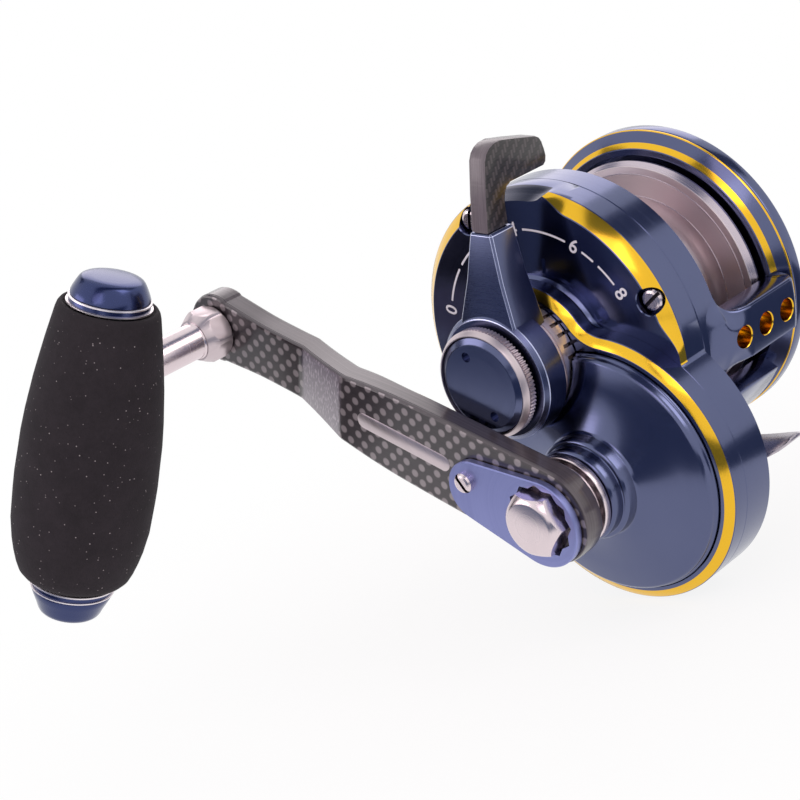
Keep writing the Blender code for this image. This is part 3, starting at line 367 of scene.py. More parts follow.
for name, front in (("front_pillar", 1), ("rear_pillar", -1)):
    work = bmesh.new()
    bmesh.ops.create_grid(work, x_segments=96, y_segments=48, size=1.0)
    sheet = {v: (v.co.x, v.co.y) for v in work.verts}
    for v in bmesh.ops.extrude_face_region(work, geom=work.faces[:])["geom"]:
        if isinstance(v, bmesh.types.BMVert):
            v.co = pillar_point(v.co.x, v.co.y, True, front)
    for v, (across, high) in sheet.items():
        v.co = pillar_point(across, high, False, front)
    pillar = solid(name, work, [navy_spool, gold_edge])
    if front > 0:
        # Three drilled holes that point at the spool, with gold walls.
        angle = radians((PILLAR_TOP + PILLAR_LOW) / 2)
        outward = Vector((0, cos(angle), sin(angle))).to_track_quat("X", "Z").to_matrix().to_4x4()
        drills = []
        for x in (-7.5, 0.0, 7.5):
            hole = drill(24.0, 37.2, 2.3, (0, 0), gold_edge, 48, 0.22, 35.7)
            hole.data.transform(Matrix.Translation((x / 1000, 0, SPOOL[1] / 1000)) @ outward)
            drills.append(hole)
        carve(pillar, drills)
    fit(pillar, "body", "navy_anodised", smooth=40)

# Base: an arc of the frame's wall, and a block under it that is longest at the foot.
FOOT_HALF, BASE_HALF = 6.75, 17
work = bmesh.new()
loops = []
for i in range(49):
    angle = radians(-40 - 100 * i / 48)
    loops.append([(x, *around(r, angle)) for x, r in
                  ((-12.4, 33.0), (12.0, 33.0), (12.0, 28.4), (-12.4, 28.4))])
stack(work, loops)
stack(work, [[(-FOOT_HALF, t - BASE_HALF, z), (FOOT_HALF, t - BASE_HALF, z),
              (FOOT_HALF, BASE_HALF - t, z), (-FOOT_HALF, BASE_HALF - t, z)]
             for z, t in ((2.5, 0), (4.0, 0.9), (6.0, 2.2))])
soften(work, 0.3)
fit(solid("frame_base", work, [navy_spool]), "body", "navy_anodised")


# Reel foot: a thin pressed aluminium bar that the rod's reel seat clamps, bare and brushed.
# Its front tip curls up a little, and two countersunk screws hold it up to the frame's base.
# Brushed aluminium: a soft pale grey with a fine uneven grain.
foot_metal = turned_metal("brushed_foot_aluminium", "#c6bdc4", "#b6aeb6", 0.30, (0, 0), 0.0, 0.35, 0.08)
work = bmesh.new()
loops = []
for y, wide, low, high in ((-44, .42, 1.35, 1.62), (-43, .56, 1.15, 1.75), (-40, .80, .8, 1.9),
                           (-32, .93, .3, 2.1), (-24, 1, 0, 2.2), (22, 1, 0, 2.2), (25, 1, .15, 2.3),
                           (28, .95, .55, 2.5), (30.5, .84, 1.1, 2.8), (32.5, .64, 1.75, 3.1),
                           (33.6, .46, 2.3, 3.35), (34, .30, 2.7, 3.45)):
    edge, side = FOOT_HALF * wide, low + (high - low) * 0.45
    crest = edge * .55
    loops.append([(-edge, y, low), (edge, y, low), (edge, y, side), (crest, y, high), (-crest, y, high),
                  (-edge, y, side)])
stack(work, loops)
soften(work, 0.18)
fit(solid("reel_foot_bar", work, [foot_metal]), "body", "foot_aluminium", "reel_foot")


# Left side plate: a turned aluminium cap that closes the left ring, navy all over.
# Three slotted screws hold it, sunk in counterbores near its edge.
work = bmesh.new()
spun(work, [(-15.0, 0), (-15.0, 32.7), (-15.3, 33.05), (-17.9, RIM), (-20.1, 30.7), (-20.1, 26.6),
            (-19.6, 26.2), (-19.6, 12.4), (-20.1, 12.0), (-20.1, 0)], SPOOL, 192, False)
soften(work, 0.2)
left_plate = solid("left_plate", work, [navy_spool])
LEFT_SCREW_FACE, LEFT_SEAT = -18.4, 30.3
left_seats = [around(LEFT_SEAT, radians(a)) for a in (30, 150, 270)]
fit(carve(left_plate, [drill(-22, -17.7, 2.6, seat, navy_spool, 40) for seat in left_seats]),
    "body", "navy_anodised", "left_side_plate")

# Polished stainless steel: bright with a warm pink cast and faint turning marks.
steel = turned_metal("polished_stainless", "#e9dade", "#dccdd2", 0.26, SPOOL)
# Screw slot: the same steel painted dark and dull as painted shade, so the slot reads as one dark line.
screw_slot_painted_shade = turned_metal("screw_slot_shade_paint_steel", "#4e4448", "#42393d", 0.45, SPOOL)
# The slot's cutter: half of the first size is its depth, and the last is its width.
SLOT_CUTTER = (1.5, 6.0, 0.75)
HEAD_DEEP, SHANK_RADIUS, SHANK_DEEP = 1.6, 1.2, 4.0


# A cheese head screw with a domed edge, whose face looks along x one way or the other.
def slotted_screw(name, at, face, way, body, cad, angle, head=2.3):
    work = bmesh.new()
    spun(work, [(face - way * deep, r) for deep, r in
                ((0, 0), (0, head - 0.75), (0.18, head - 0.3), (0.55, head), (HEAD_DEEP, head),
                 (HEAD_DEEP, SHANK_RADIUS), (SHANK_DEEP, SHANK_RADIUS), (SHANK_DEEP, 0))], at, 64, False)
    screw = solid(name, work, [steel])
    # The slot's cutter carries the painted shade onto the slot's walls and floor.
    blade = bmesh.new()
    bmesh.ops.create_cube(blade, size=1.0)
    bmesh.ops.scale(blade, vec=SLOT_CUTTER, verts=blade.verts)
    bmesh.ops.rotate(blade, matrix=Matrix.Rotation(angle, 3, "X"), verts=blade.verts)
    bmesh.ops.translate(blade, vec=(face, *at), verts=blade.verts)
    return fit(carve(screw, [solid("slot", blade, [screw_slot_painted_shade])]), body, "stainless_steel", cad, smooth=15)


for number, seat in enumerate(left_seats):
    slotted_screw("left_screw_%d" % (number + 1), seat, LEFT_SCREW_FACE, -1, "body",
                  "left_plate_screw_%d" % (number + 1), 0.5 + number)


# Right side plate: machined from plate with the dial face and the gear lobe in one piece.
# Its rim is chamfered to a gold edge that runs out at the thumb notch and at the lobe.
# The drive shaft's axis, and its angle and distance from the spool's.
GEAR = (11.789, 9.602)
GEAR_ANGLE, CENTRES = radians(-65.1), 28.0
LOBE, DIAL_FACE = 28.58, 25.8
RIGHT_SCREW_FACE, RIGHT_SEAT = 24.9, 30.2
NOTCH_AT, NOTCH_DEEP, NOTCH_HALF = radians(87.5), 1.9, radians(15.6)


# The outline of two discs, on the spool's and the gear's axes, joined by fillets.
def two_lobes(near, far, fillet, inset=None):
    a, b = near + fillet, far + fillet
    swing = acos((CENTRES ** 2 + a ** 2 - b ** 2) / (2 * CENTRES * a))
    sweep = asin(a * sin(swing) / b)
    if a * cos(swing) > CENTRES:
        sweep = pi - sweep
    behind = GEAR_ANGLE + pi
    outline = []
    for i in range(241):
        t = GEAR_ANGLE + swing + (2 * pi - 2 * swing) * i / 240
        outline.append(around(near - (inset(t) if inset else 0), t))
    for side, start, end in ((-1, behind - swing, GEAR_ANGLE + sweep),
                             (0, behind + sweep, behind + 2 * pi - sweep),
                             (1, GEAR_ANGLE + 2 * pi - sweep, behind + swing)):
        count = 12 if side else 240
        radius, middle = (fillet, around(a, GEAR_ANGLE + side * swing)) if side else (far, GEAR)
        span = range(1, count) if side else range(count + 1)
        outline += [around(radius, start + (end - start) * i / count, middle) for i in span]
    return outline


# How far the rim is cut back at an angle, by the notch with its round ends or by the chamfer,
# which runs out beside the notch and the lobe.
def rim_inset(chamfer, scoop):
    def at(t):
        off = abs((t - NOTCH_AT + pi) % (2 * pi) - pi)
        bite = NOTCH_DEEP * sqrt(1 - min(1.0, max(0.0, off - radians(9)) / radians(7.5)) ** 2)
        lobe = abs((t - GEAR_ANGLE + pi) % (2 * pi) - pi)
        run = ease((off - radians(14.5)) / radians(13)) * ease((lobe - radians(58)) / radians(14))
        return max(bite * scoop, chamfer * run)
    return at


# Thumb notch: cut with an end mill, and painted a duller, darker navy than the turned metal as painted shade
# in the hollow.
notch_painted_shade = turned_metal("navy_notch_painted_shade", "#171c30", "#1e2439", 0.24, SPOOL)
work = bmesh.new()
# Each level has its x, the rim's chamfer, the lobe's bevel and the share of the notch.
levels = ((17.76, 0.15, 0.15, 0), (17.9, 0, 0, 0), (21.4, 0, 0, 0), (22.4, 0, 0, 0.25), (23.4, 0, 0, 0.50),
          (23.58, 0.12, 0, 0.54), (25.66, 2.54, 0, 0.97), (DIAL_FACE, 2.75, 0.15, 1))
stack(work, [[(x, y, z) for y, z in two_lobes(RIM, LOBE - bevel, 1.5 + bevel, rim_inset(chamfer, scoop))]
             for x, chamfer, bevel, scoop in levels])


def in_notch(point):
    return abs(atan2(point.z - SPOOL[1], point.y) - NOTCH_AT) < NOTCH_HALF


paint(work, 1, lambda c: 23.6 < c.x < 25.65 and off_axis(c) > 30.2 and off_axis(c, GEAR) > 28.75
      and not in_notch(c))
# The notch's faces get the painted shade.
paint(work, 2, lambda c: 21.5 < c.x < 25.79 and 30.5 < off_axis(c) < 33.0 and in_notch(c))
side_plate = solid("side_plate", work, [navy_spool, gold_edge, notch_painted_shade])
right_seats = [around(RIGHT_SEAT, radians(a)) for a in (14.3, 111.6, 208.9)]
# A curved groove of 3.2 mm in the dial, on a radius of 18 mm, with one round end.
GROOVE, GROOVE_HALF, GROOVE_START, GROOVE_END = 18.0, 1.6, 18, 72
track = []
for radius, start, end in ((GROOVE + GROOVE_HALF, GROOVE_START, GROOVE_END),
                           (GROOVE - GROOVE_HALF, GROOVE_END, GROOVE_START)):
    track += [around(radius, radians(start + (end - start) * i / 40)) for i in range(41)]
nose = around(GROOVE, radians(GROOVE_START))
track += [around(GROOVE_HALF, radians(GROOVE_START + 180 + 180 * i / 16), nose) for i in range(1, 16)]
groove = bmesh.new()
stack(groove, [[(x, y, z) for y, z in track] for x in (25.3, 27.0)])
fit(carve(side_plate, [drill(22.4, 28.0, 2.75, seat, navy_spool, 48, 0.2, DIAL_FACE) for seat in right_seats]
          + [drill(19.4, 28.0, 9.0, SPOOL, navy_spool), drill(19.4, 28.0, 24.3, GEAR, navy_spool, 96),
             solid("groove", groove, [navy_spool])]),
    "body", "navy_anodised", "right_side_plate")
for number, seat in enumerate(right_seats):
    slotted_screw("plate_screw_%d" % (number + 1), seat, RIGHT_SCREW_FACE, 1, "body",
                  "side_plate_screw_%d" % (number + 1), 0.55 + 0.7 * number)


# Dial marks: a pad-printed white scale on the dial face, a hair proud of it.
# Plain numbers stand between the strokes of the scale and count the drag steps.
# Pad print: a matt, slightly lilac white that is uneven by specks of 0.4 mm.
INK_SPECK = 0.4
ink = bpy.data.materials.new("white_pad_print")
ink.use_nodes = True
tree = ink.node_tree
speck = node(tree, "TexNoise", {"Vector": node(tree, "TexCoord", {}).outputs["Object"],
                                "Scale": 1000 / INK_SPECK})
ink_tone = node(tree, "Mix", {0: speck.outputs["Fac"], 6: linear("#dcdae2"), 7: linear("#f4f2fa")},
                data_type="RGBA")
tree.links.new(ink_tone.outputs[2], tree.nodes["Principled BSDF"].inputs["Base Color"])
tree.nodes["Principled BSDF"].inputs["Roughness"].default_value = 0.5
INK_BACK, INK_FRONT, STROKE_IN, STROKE_OUT = 25.78, 25.83, 25.0, 25.45
work = bmesh.new()
for start, end in ((27.5, 38.5), (41.5, 48.5), (58.0, 82.5), (93.5, 112.0), (115.0, 130.0), (133.0, 152.0)):
    stack(work, [[(x, *around(r, radians(start + (end - start) * i / 30))) for x, r in
                  ((INK_BACK, STROKE_IN), (INK_FRONT, STROKE_IN), (INK_FRONT, STROKE_OUT),
                   (INK_BACK, STROKE_OUT))] for i in range(31)])
fit(solid("dial_scale", work, [ink]), "body", "navy_anodised")
# Text lies in x and y, and the dial faces along x, so its axes are swapped round. It is in metres.
NUMBER_HIGH, NUMBER_THICK, NUMBER_BOLD, NUMBER_AT = 0.0042, 0.00003, 0.00005, 0.02581
FACE_X = Matrix(((0, 0, 1, 0), (1, 0, 0, 0), (0, 1, 0, 0), (0, 0, 0, 1)))
for word, degrees in (("8", 22.6), ("6", 53.2), ("4", 88.0), ("0", 157.0)):
    letter = bpy.data.curves.new("dial_number_" + word, "FONT")
    letter.body, letter.align_x, letter.align_y = word, "CENTER", "CENTER"
    letter.size, letter.extrude, letter.offset = NUMBER_HIGH, NUMBER_THICK, NUMBER_BOLD
    shape = bpy.data.objects.new("dial_number_" + word, letter)
    flat = bpy.data.meshes.new_from_object(shape)
    bpy.data.objects.remove(shape)
    angle = radians(degrees)
    y, z = around(25.2, angle)
    flat.transform(Matrix.Translation((NUMBER_AT, y / 1000, z / 1000))
                   @ Matrix.Rotation(angle - pi / 2, 4, "X") @ FACE_X)
    flat.materials.clear()
    flat.materials.append(ink)
    number = bpy.data.objects.new("dial_number_" + word, flat)
    bpy.context.scene.collection.objects.link(number)
    fit(number, "body", "navy_anodised")


# Gear cover: an eight-shaped raised ring over the gear case, machined and navy anodised.
# A thin foot runs round it on the dial, and its sloped upper edge is cut back to bright gold.
# Its navy is the frame's, with the lathe marks round the gear's axis.
navy_gear = turned_metal("navy_anodised_gear_side", "#575d7e", "#5f6585", 0.19, GEAR, 0.2)
work = bmesh.new()
# Each level has its x and how far the spool's disc and the gear's disc are drawn in.
levels = ((25.83, -0.8, 0), (26.2, -0.8, 0), (26.4, -0.6, 0), (26.75, -0.12, 0), (27.2, 0, 0), (29.55, 0, 0),
          (29.72, 0.14, 0.14), (30.72, 1.92, 1.92), (30.8, 2.1, 2.1))
stack(work, [[(x, y, z) for y, z in two_lobes(15.0 - s, LOBE - f, 7.0 + s)] for x, s, f in levels])
paint(work, 1, lambda c: 29.74 < c.x < 30.74)
cover = solid("cover", work, [navy_gear, gold_edge])
fit(carve(cover, [drill(25, 33, 25.9, GEAR, navy_gear, 128), drill(25, 33, 11.5, SPOOL, navy_gear, 96)]),
    "body", "navy_anodised", "gear_cover")


# Gear cap: a turned navy cone with the drive shaft's boss, screwed into the cover.
# It is bitten away round the lever's cam.
work = bmesh.new()
spun(work, [(42.6, 6.2), (43.0, 6.2), (43.0, 9.3), (42.5, 9.8), (40.0, 9.8), (39.9, 10.3), (39.5, 10.8),
            (37.0, 10.8), (36.5, 11.3), (33.9, 19.8), (33.0, 24.6), (32.5, 25.2), (31.6, 25.2),
            (31.4, 25.6), (28.5, 25.6), (28.5, 6.2)], GEAR, 240)
soften(work, 0.14, 1)
gear_cap = solid("cap", work, [navy_gear])
fit(carve(gear_cap, [drill(25, 50, 12.6, SPOOL, navy_gear, 96)]), "body", "navy_anodised", "gear_cap")


# Cam ring: a hard steel ring under the lever's hub, with rectangular click slots round its foot.
# It is turned, milled and ground, and stays bare.
# Ground cam steel: fine grinding keeps it pale from every side.
cam_steel = turned_metal("ground_cam_steel", "#eadfe2", "#dcd0d4", 0.34, SPOOL)
# Cam slot walls: the ring's steel painted a dull warm brown as painted shade in the slots.
cam_slot_painted_shade = turned_metal("cam_slot_shade_paint_steel", "#a08c84", "#8e7b74", 0.5, SPOOL)
CAM_SLOTS = 32
work = bmesh.new()
spun(work, [(36.0, 8.4), (36.0, 11.9), (35.8, 12.1), (35.0, 12.1), (34.95, 11.9), (34.65, 11.9), (34.6, 12.2),
            (31.1, 12.2), (31.1, 10.9), (26.2, 10.9), (26.2, 8.4)])
cam = solid("cam", work, [cam_steel])
slots = []
# Each slot's cutter carries the painted shade onto the slot's walls.
for number in range(CAM_SLOTS):
    slot_cut = bmesh.new()
    bmesh.ops.create_cube(slot_cut, size=1.0)
    bmesh.ops.scale(slot_cut, vec=(2.4, 1.6, 0.75), verts=slot_cut.verts)
    bmesh.ops.translate(slot_cut, vec=(32.2, 12.1, 0), verts=slot_cut.verts)
    step_round = Matrix.Rotation(radians(360 / CAM_SLOTS * number), 3, "X")
    bmesh.ops.rotate(slot_cut, matrix=step_round, verts=slot_cut.verts)
    bmesh.ops.translate(slot_cut, vec=(0, *SPOOL), verts=slot_cut.verts)
    slots.append(solid("slot", slot_cut, [cam_slot_painted_shade]))
fit(carve(cam, slots), "body", "stainless_steel", "cam_ring")


# Drag lever: a turned hub with a deep tapering blade, milled from one bar and navy anodised.
# Its edges are broken by flat chamfers that catch the light, and their fine bevels are painted pale as
# painted highlights, so they show as fine double lines.
# Blasted navy anodising: the same dye on a finer, duller cut, so the flats stay an even blue.
navy_lever = turned_metal("navy_anodised_satin", "#575d7e", "#5f6585", 0.27, SPOOL, 0.2, 0.05, 0.003)
# Broken edge: the fine bevels are painted pale as a painted highlight, so they draw as pale lines.
lever_edge_painted_highlight = turned_metal("navy_edge_painted_highlight", "#c3c8e6", "#b4b9da", 0.3, SPOOL)
LEVER = 78.0


# Turns a piece that was made along y to its angle, and sets it on its axis.
def lay(work, verts, angle, at):
    bmesh.ops.rotate(work, matrix=Matrix.Rotation(radians(angle), 3, "X"), verts=verts)
    bmesh.ops.translate(work, vec=(0, *at), verts=verts)


work = bmesh.new()
spun(work, [(42.4, 3.4), (42.4, 12.5), (41.6, 13.4), (36.4, 13.4), (36.4, 3.4)], (0, 0))
# The hub's bevels take the painted highlight.
soften(work, 0.12, 1, 25, 1)
blade = bmesh.new()
# Each station of the blade has its y, its half width and its front.
stack(blade, [[(33.2, y, half), (front, y, half), (front, y, -half), (33.2, y, -half)] for y, half, front in
              ((9.0, 7.6, 42.3), (12.0, 6.8, 42.1), (20.0, 4.6, 41.2), (29.55, 2.75, 40.2))])
soften(blade, 0.45, 1, 40)
# The blade's fine bevels take the painted highlight.
soften(blade, 0.08, 2, 15, 1)
bladework = bpy.data.meshes.new("blade")
blade.to_mesh(bladework)
blade.free()
work.from_mesh(bladework)
lay(work, work.verts, LEVER, SPOOL)
fit(solid("lever", work, [navy_lever, lever_edge_painted_highlight]), "lever", "navy_anodised", "drag_lever", smooth=20)


# Lever tip: a hooked plate cut from woven carbon sheet and clear coated, glued to the blade.
# The face shows the weave, and the cut edge shows the plies as fine lines.
# Carbon twill: near black, with two tones of woven tows 0.85 mm wide under a soft gloss.
TOW = 0.85
twill = bpy.data.materials.new("carbon_twill_gloss")
twill.use_nodes = True
tree = twill.node_tree
turned = node(tree, "VectorRotate", {"Vector": node(tree, "TexCoord", {}).outputs["Object"],
                                     "Center": (0, 0, SPOOL[1] / 1000), "Axis": (1, 0, 0),
                                     "Angle": radians(-LEVER)})
warp = node(tree, "SeparateXYZ", {0: turned.outputs[0]})
# Along each way of the cloth: which tow a point is on, and how far from that tow's middle.
tow_steps, tow_offs = [], []
for axis in (0, 1):
    tows = node(tree, "Math", {0: warp.outputs[axis], 1: 1000 / TOW}, operation="MULTIPLY").outputs[0]
    tow_steps.append(node(tree, "Math", {0: tows}, operation="FLOOR").outputs[0])
    part = node(tree, "Math", {0: tows, 1: 1.0}, operation="FLOORED_MODULO").outputs[0]
    tow_offs.append(node(tree, "Math", {0: part, 1: 0.5}, operation="SUBTRACT").outputs[0])
# Two over and two under, one tow further on in each row.
shift = node(tree, "Math", {0: tow_steps[0], 1: tow_steps[1]}, operation="ADD")
turn_of = node(tree, "Math", {0: shift.outputs[0], 1: 4.0}, operation="FLOORED_MODULO")
warp_up = node(tree, "Math", {0: turn_of.outputs[0], 1: 1.5}, operation="LESS_THAN")
tow_side = node(tree, "Mix", {0: warp_up.outputs[0], 2: tow_offs[1], 3: tow_offs[0]})
crown = node(tree, "Math", {0: tow_side.outputs[0]}, operation="ABSOLUTE")
crown_light = node(tree, "MapRange", {0: crown.outputs[0], 1: 0.0, 2: 0.5, 3: 1.0, 4: 0.25})
tow_pick = node(tree, "Mix", {0: warp_up.outputs[0], 6: linear("#2a2628"), 7: linear("#4c4548")},
                data_type="RGBA")
tow_tone = node(tree, "Mix", {0: crown_light.outputs[0], 6: linear("#151315"), 7: tow_pick.outputs[2]},
                data_type="RGBA")
# Plies of about 0.24 mm run along the edge in streaks of 8 mm.
ply_place = node(tree, "Mapping", {"Vector": turned.outputs[0], "Scale": (120, 120, 4200)})
ply = node(tree, "TexNoise", {"Vector": ply_place.outputs[0], "Scale": 1.0, "Detail": 3.0})
ply_tone = node(tree, "Mix", {0: ply.outputs["Fac"], 6: linear("#4a4348"), 7: linear("#7e747c")},
                data_type="RGBA")
flank = node(tree, "VectorRotate", {"Vector": node(tree, "NewGeometry", {}).outputs["Normal"],
                                    "Center": (0, 0, 0), "Axis": (1, 0, 0), "Angle": radians(-LEVER)})
flank_z = node(tree, "SeparateXYZ", {0: flank.outputs[0]}).outputs[2]
facing = node(tree, "Math", {0: flank_z}, operation="ABSOLUTE")
on_face = node(tree, "MapRange", {0: facing.outputs[0], 1: 0.7, 2: 0.85})
tip_tone = node(tree, "Mix", {0: on_face.outputs[0], 6: ply_tone.outputs[2], 7: tow_tone.outputs[2]},
                data_type="RGBA")
weave = node(tree, "Bump", {"Height": crown_light.outputs[0], "Strength": 0.15, "Distance": 0.0001})
shader = tree.nodes["Principled BSDF"]
tree.links.new(tip_tone.outputs[2], shader.inputs["Base Color"])
tree.links.new(weave.outputs[0], shader.inputs["Normal"])
shader.inputs["Roughness"].default_value = 0.38
shader.inputs["Coat Weight"].default_value = 0.35
shader.inputs["Coat Roughness"].default_value = 0.12
work = bmesh.new()
hook = ((40.2, 29.6), (39.2, 37.0), (38.0, 43.4), (37.3, 44.7), (36.2, 45.6), (34.8, 46.1), (32.9, 46.2),
        (28.0, 45.1), (22.5, 43.7), (21.5, 43.1), (20.9, 42.2), (20.4, 40.4), (20.2, 39.0), (20.5, 37.9),
        (21.3, 37.3), (31.5, 37.3), (32.7, 36.8), (33.4, 35.8), (33.8, 34.6), (33.9, 33.3), (33.9, 29.6))
stack(work, [[(x, y, z) for x, y in hook] for z in (-2.1, 2.1)])
soften(work, 0.4, 2, 60)
lay(work, work.verts, LEVER, SPOOL)
fit(solid("tip", work, [twill]), "lever", "carbon_laminate", "lever_tip")


# Preset knob: a navy turned core in a steel ring on the end of the spool shaft.
# The ring has a smooth front lip and straight fine knurling behind it for the fingers.
work = bmesh.new()
spun(work, [(46.75, 0), (46.75, 8.9), (46.05, 10.1), (45.75, 10.25), (43.3, 10.25), (43.3, 3.4)], SPOOL, 192,
     False)
soften(work, 0.08, 1)
core = solid("preset_core", work, [navy_spool])
# Two holes take a pin spanner.
fit(carve(core, [drill(45.8, 48.0, 1.05, around(6.5, radians(a)), navy_spool, 32) for a in (101.5, 281.5)]),
    "preset", "navy_anodised", "preset_cap", smooth=15)
# Satin steel: the same steel, blasted, so it stays an even pale grey.
satin_steel = turned_metal("satin_stainless", "#d6c8cc", "#c8babf", 0.36, SPOOL)
KNURLS = 84
KNURL = ((0.0, 11.0), (0.25, 11.35), (0.5, 11.35), (0.75, 11.0))
ridges = [around(r, 2 * pi * (number + part) / KNURLS) for number in range(KNURLS) for part, r in KNURL]


# A round with as many points as the knurled loops have.
def round_loop(x, r):
    count = KNURLS * len(KNURL)
    return [(x, *around(r, 2 * pi * i / count)) for i in range(count)]


work = bmesh.new()
stack(work, [round_loop(43.2, 10.35), round_loop(43.2, 10.8), [(43.35, y, z) for y, z in ridges],
             [(44.8, y, z) for y, z in ridges]]
      + [round_loop(x, r) for x, r in ((44.9, 10.9), (45.0, 11.25), (45.3, 11.35), (45.9, 11.05),
                                       (46.35, 10.6), (46.35, 10.4), (46.0, 10.35))], True)
fit(solid("preset_grip_ring", work, [satin_steel]), "preset", "stainless_steel", "preset_ring")


# Spool: turned from bar and gunmetal anodised a warm grey.
# The flange edge and two fine lines on each flange face are cut bright again.
# Gunmetal anodising: a satin warm grey that goes dark between the flanges.
gunmetal = turned_metal("gunmetal_anodised", "#d9cbcf", "#ccbec2", 0.36, SPOOL, 0.0, 0.3)
# Bright cut: bare metal from a sharp tool, so the lines glint.
bright_cut = turned_metal("bright_cut_line", "#cfc2cc", "#c4b8c2", 0.25, SPOOL)
work = bmesh.new()
half = [(11.0, 27.6), (10.55, 27.6), (9.45, 26.75), (9.3, 26.6), (9.1, 25.3), (9.04, 25.24), (9.1, 25.1),
        (8.95, 20.6), (8.89, 20.54), (8.95, 20.4), (8.7, 18.4), (8.0, 16.6), (6.6, 15.4), (5.0, 15.0)]
spun(work, half + [(-x, r) for x, r in reversed(half)] + [(-11.0, 8.3), (11.0, 8.3)], SPOOL, 240)
paint(work, 1, lambda c: off_axis(c) > 26.7 or 25.1 < off_axis(c) < 25.3 or 20.4 < off_axis(c) < 20.6)
fit(solid("spool_body", work, [gunmetal, bright_cut]), "spool", "gunmetal_anodised", "spool")


# Shaft collar: a plain steel spacer between the gear cap's boss and the handle arm.
# It is turned and polished, and slides on the drive shaft.
# Its steel is the polished stainless, with the turning marks round the drive shaft.
steel_gear = turned_metal("polished_stainless_drive", "#e9dade", "#dccdd2", 0.24, GEAR)
work = bmesh.new()
spun(work, [(47.0, 5.3), (47.0, 7.8), (46.6, 8.0), (45.2, 8.0), (45.1, 9.2), (44.9, 9.4), (43.6, 9.4),
            (43.4, 9.2), (43.4, 5.3)], GEAR)
soften(work, 0.12)
fit(solid("collar", work, [steel_gear]), "crank", "stainless_steel", "shaft_collar")


# Handle arm: a thick cranked bar of pressed carbon laminate, cut to shape and clear coated.
# The cloth shows as rows of pale crossings on the faces and as fine plies along the edges.
ARM = 153.3
# Carbon cloth: dark and glossy, with crossings 2.8 mm apart on the diagonal, as in the photograph.
# Its patterns read arm_place, which holds each point's y, z and x on the straight arm in millimetres.
CROSSINGS = 0.36
carbon = bpy.data.materials.new("carbon_cloth_laminate")
carbon.use_nodes = True
tree = carbon.node_tree
where = node(tree, "Attribute", {}, attribute_name="arm_place").outputs["Vector"]
flat_place = node(tree, "Mapping", {"Vector": where, "Rotation": (0, 0, radians(38)),
                                    "Scale": (CROSSINGS, CROSSINGS, 0.0)})
dots = node(tree, "TexVoronoi", {"Vector": flat_place.outputs[0], "Scale": 1.0, "Randomness": 0.16},
            voronoi_dimensions="2D")
dot = node(tree, "MapRange", {0: dots.outputs["Distance"], 1: 0.24, 2: 0.36, 3: 1.0, 4: 0.0})
# Plies are about 0.3 mm thick, and the fibres on the face 0.3 mm wide and 2 mm long.
# On the slant between the two flats the face is painted pale as a painted highlight, broken by short pale
# dashes.
plies, fibre, dashes = [
    node(tree, "TexNoise", {"Vector": node(tree, "Mapping", {"Vector": where, "Scale": scale}).outputs[0],
                            "Scale": 1.0, "Detail": detail}).outputs["Fac"]
    for scale, detail in (((0.03, 0.03, 3.6), 3.0), ((0.5, 3.0, 0.5), 2.0), ((2.6, 0.7, 0.0), 1.0))]
dash = node(tree, "MapRange", {0: dashes, 1: 0.52, 2: 0.68})
dark_tone = node(tree, "Mix", {0: fibre, 6: linear("#2c262b"), 7: linear("#423b40")}, data_type="RGBA")
face_tone = node(tree, "Mix", {0: dot.outputs[0], 6: dark_tone.outputs[2], 7: linear("#8d8589")},
                 data_type="RGBA")
edge_tone = node(tree, "Mix", {0: plies, 6: linear("#2c272b"), 7: linear("#6a6168")}, data_type="RGBA")
slant_painted_highlight = node(tree, "Mix", {0: dash.outputs[0], 6: linear("#756b78"), 7: linear("#a69ca8")},
                  data_type="RGBA")
reach = node(tree, "SeparateXYZ", {0: where}).outputs[0]
# The painted highlight lies on the slant, from 54 to 69.6 mm along the arm.
slant_in = node(tree, "MapRange", {0: reach, 1: 54.0, 2: 55.4})
slant_out = node(tree, "MapRange", {0: reach, 1: 68.4, 2: 69.6, 3: 1.0, 4: 0.0})
slant = node(tree, "Math", {0: slant_in.outputs[0], 1: slant_out.outputs[0]}, operation="MULTIPLY")
top_tone = node(tree, "Mix", {0: slant.outputs[0], 6: face_tone.outputs[2], 7: slant_painted_highlight.outputs[2]},
                data_type="RGBA")
normal_x = node(tree, "SeparateXYZ", {0: node(tree, "NewGeometry", {}).outputs["Normal"]}).outputs[0]
facing = node(tree, "Math", {0: normal_x}, operation="ABSOLUTE")
on_face = node(tree, "MapRange", {0: facing.outputs[0], 1: 0.75, 2: 0.9})
arm_tone = node(tree, "Mix", {0: on_face.outputs[0], 6: edge_tone.outputs[2], 7: top_tone.outputs[2]},
                data_type="RGBA")
shader = tree.nodes["Principled BSDF"]
tree.links.new(arm_tone.outputs[2], shader.inputs["Base Color"])
shader.inputs["Metallic"].default_value = 0.3
shader.inputs["Roughness"].default_value = 0.30
shader.inputs["Coat Weight"].default_value = 0.6
shader.inputs["Coat Roughness"].default_value = 0.16
# The arm's half width from the shaft to the neck of the eye, the round ends, and the crank's offset.
ARM_HALVES = ((0, 10.2), (15.3, 10.0), (29.7, 9.8), (42.1, 9.4), (52.6, 8.2), (57.4, 7.5), (63.2, 6.9),
              (67.9, 6.6), (78.5, 6.5), (86.1, 6.7), (93.4, 7.75))
ARM_TAIL, ARM_NECK, EYE_AT, EYE = 10.2, 93.4, 95.7, 8.1
ARM_BACK, CRANK_DROP, CRANK_START, CRANK_RUN = 47.3, 4.0, 54.3, 15.3
BLUR = range(-6, 7)


# The half width, averaged over 13 mm so that the outline has no corners.
def arm_half(place):
    total = 0.0
    for step in BLUR:
        y = min(ARM_NECK, max(0.0, place + step))
        for (y0, h0), (y1, h1) in zip(ARM_HALVES, ARM_HALVES[1:]):
            if y0 <= y <= y1:
                total += (h0 + (h1 - h0) * (y - y0) / (y1 - y0)) / len(BLUR)
                break
    return total


# How far the crank has brought the arm back towards the reel.
def arm_drop(y):
    return CRANK_DROP * min(1.0, max(0.0, (y - CRANK_START) / CRANK_RUN))


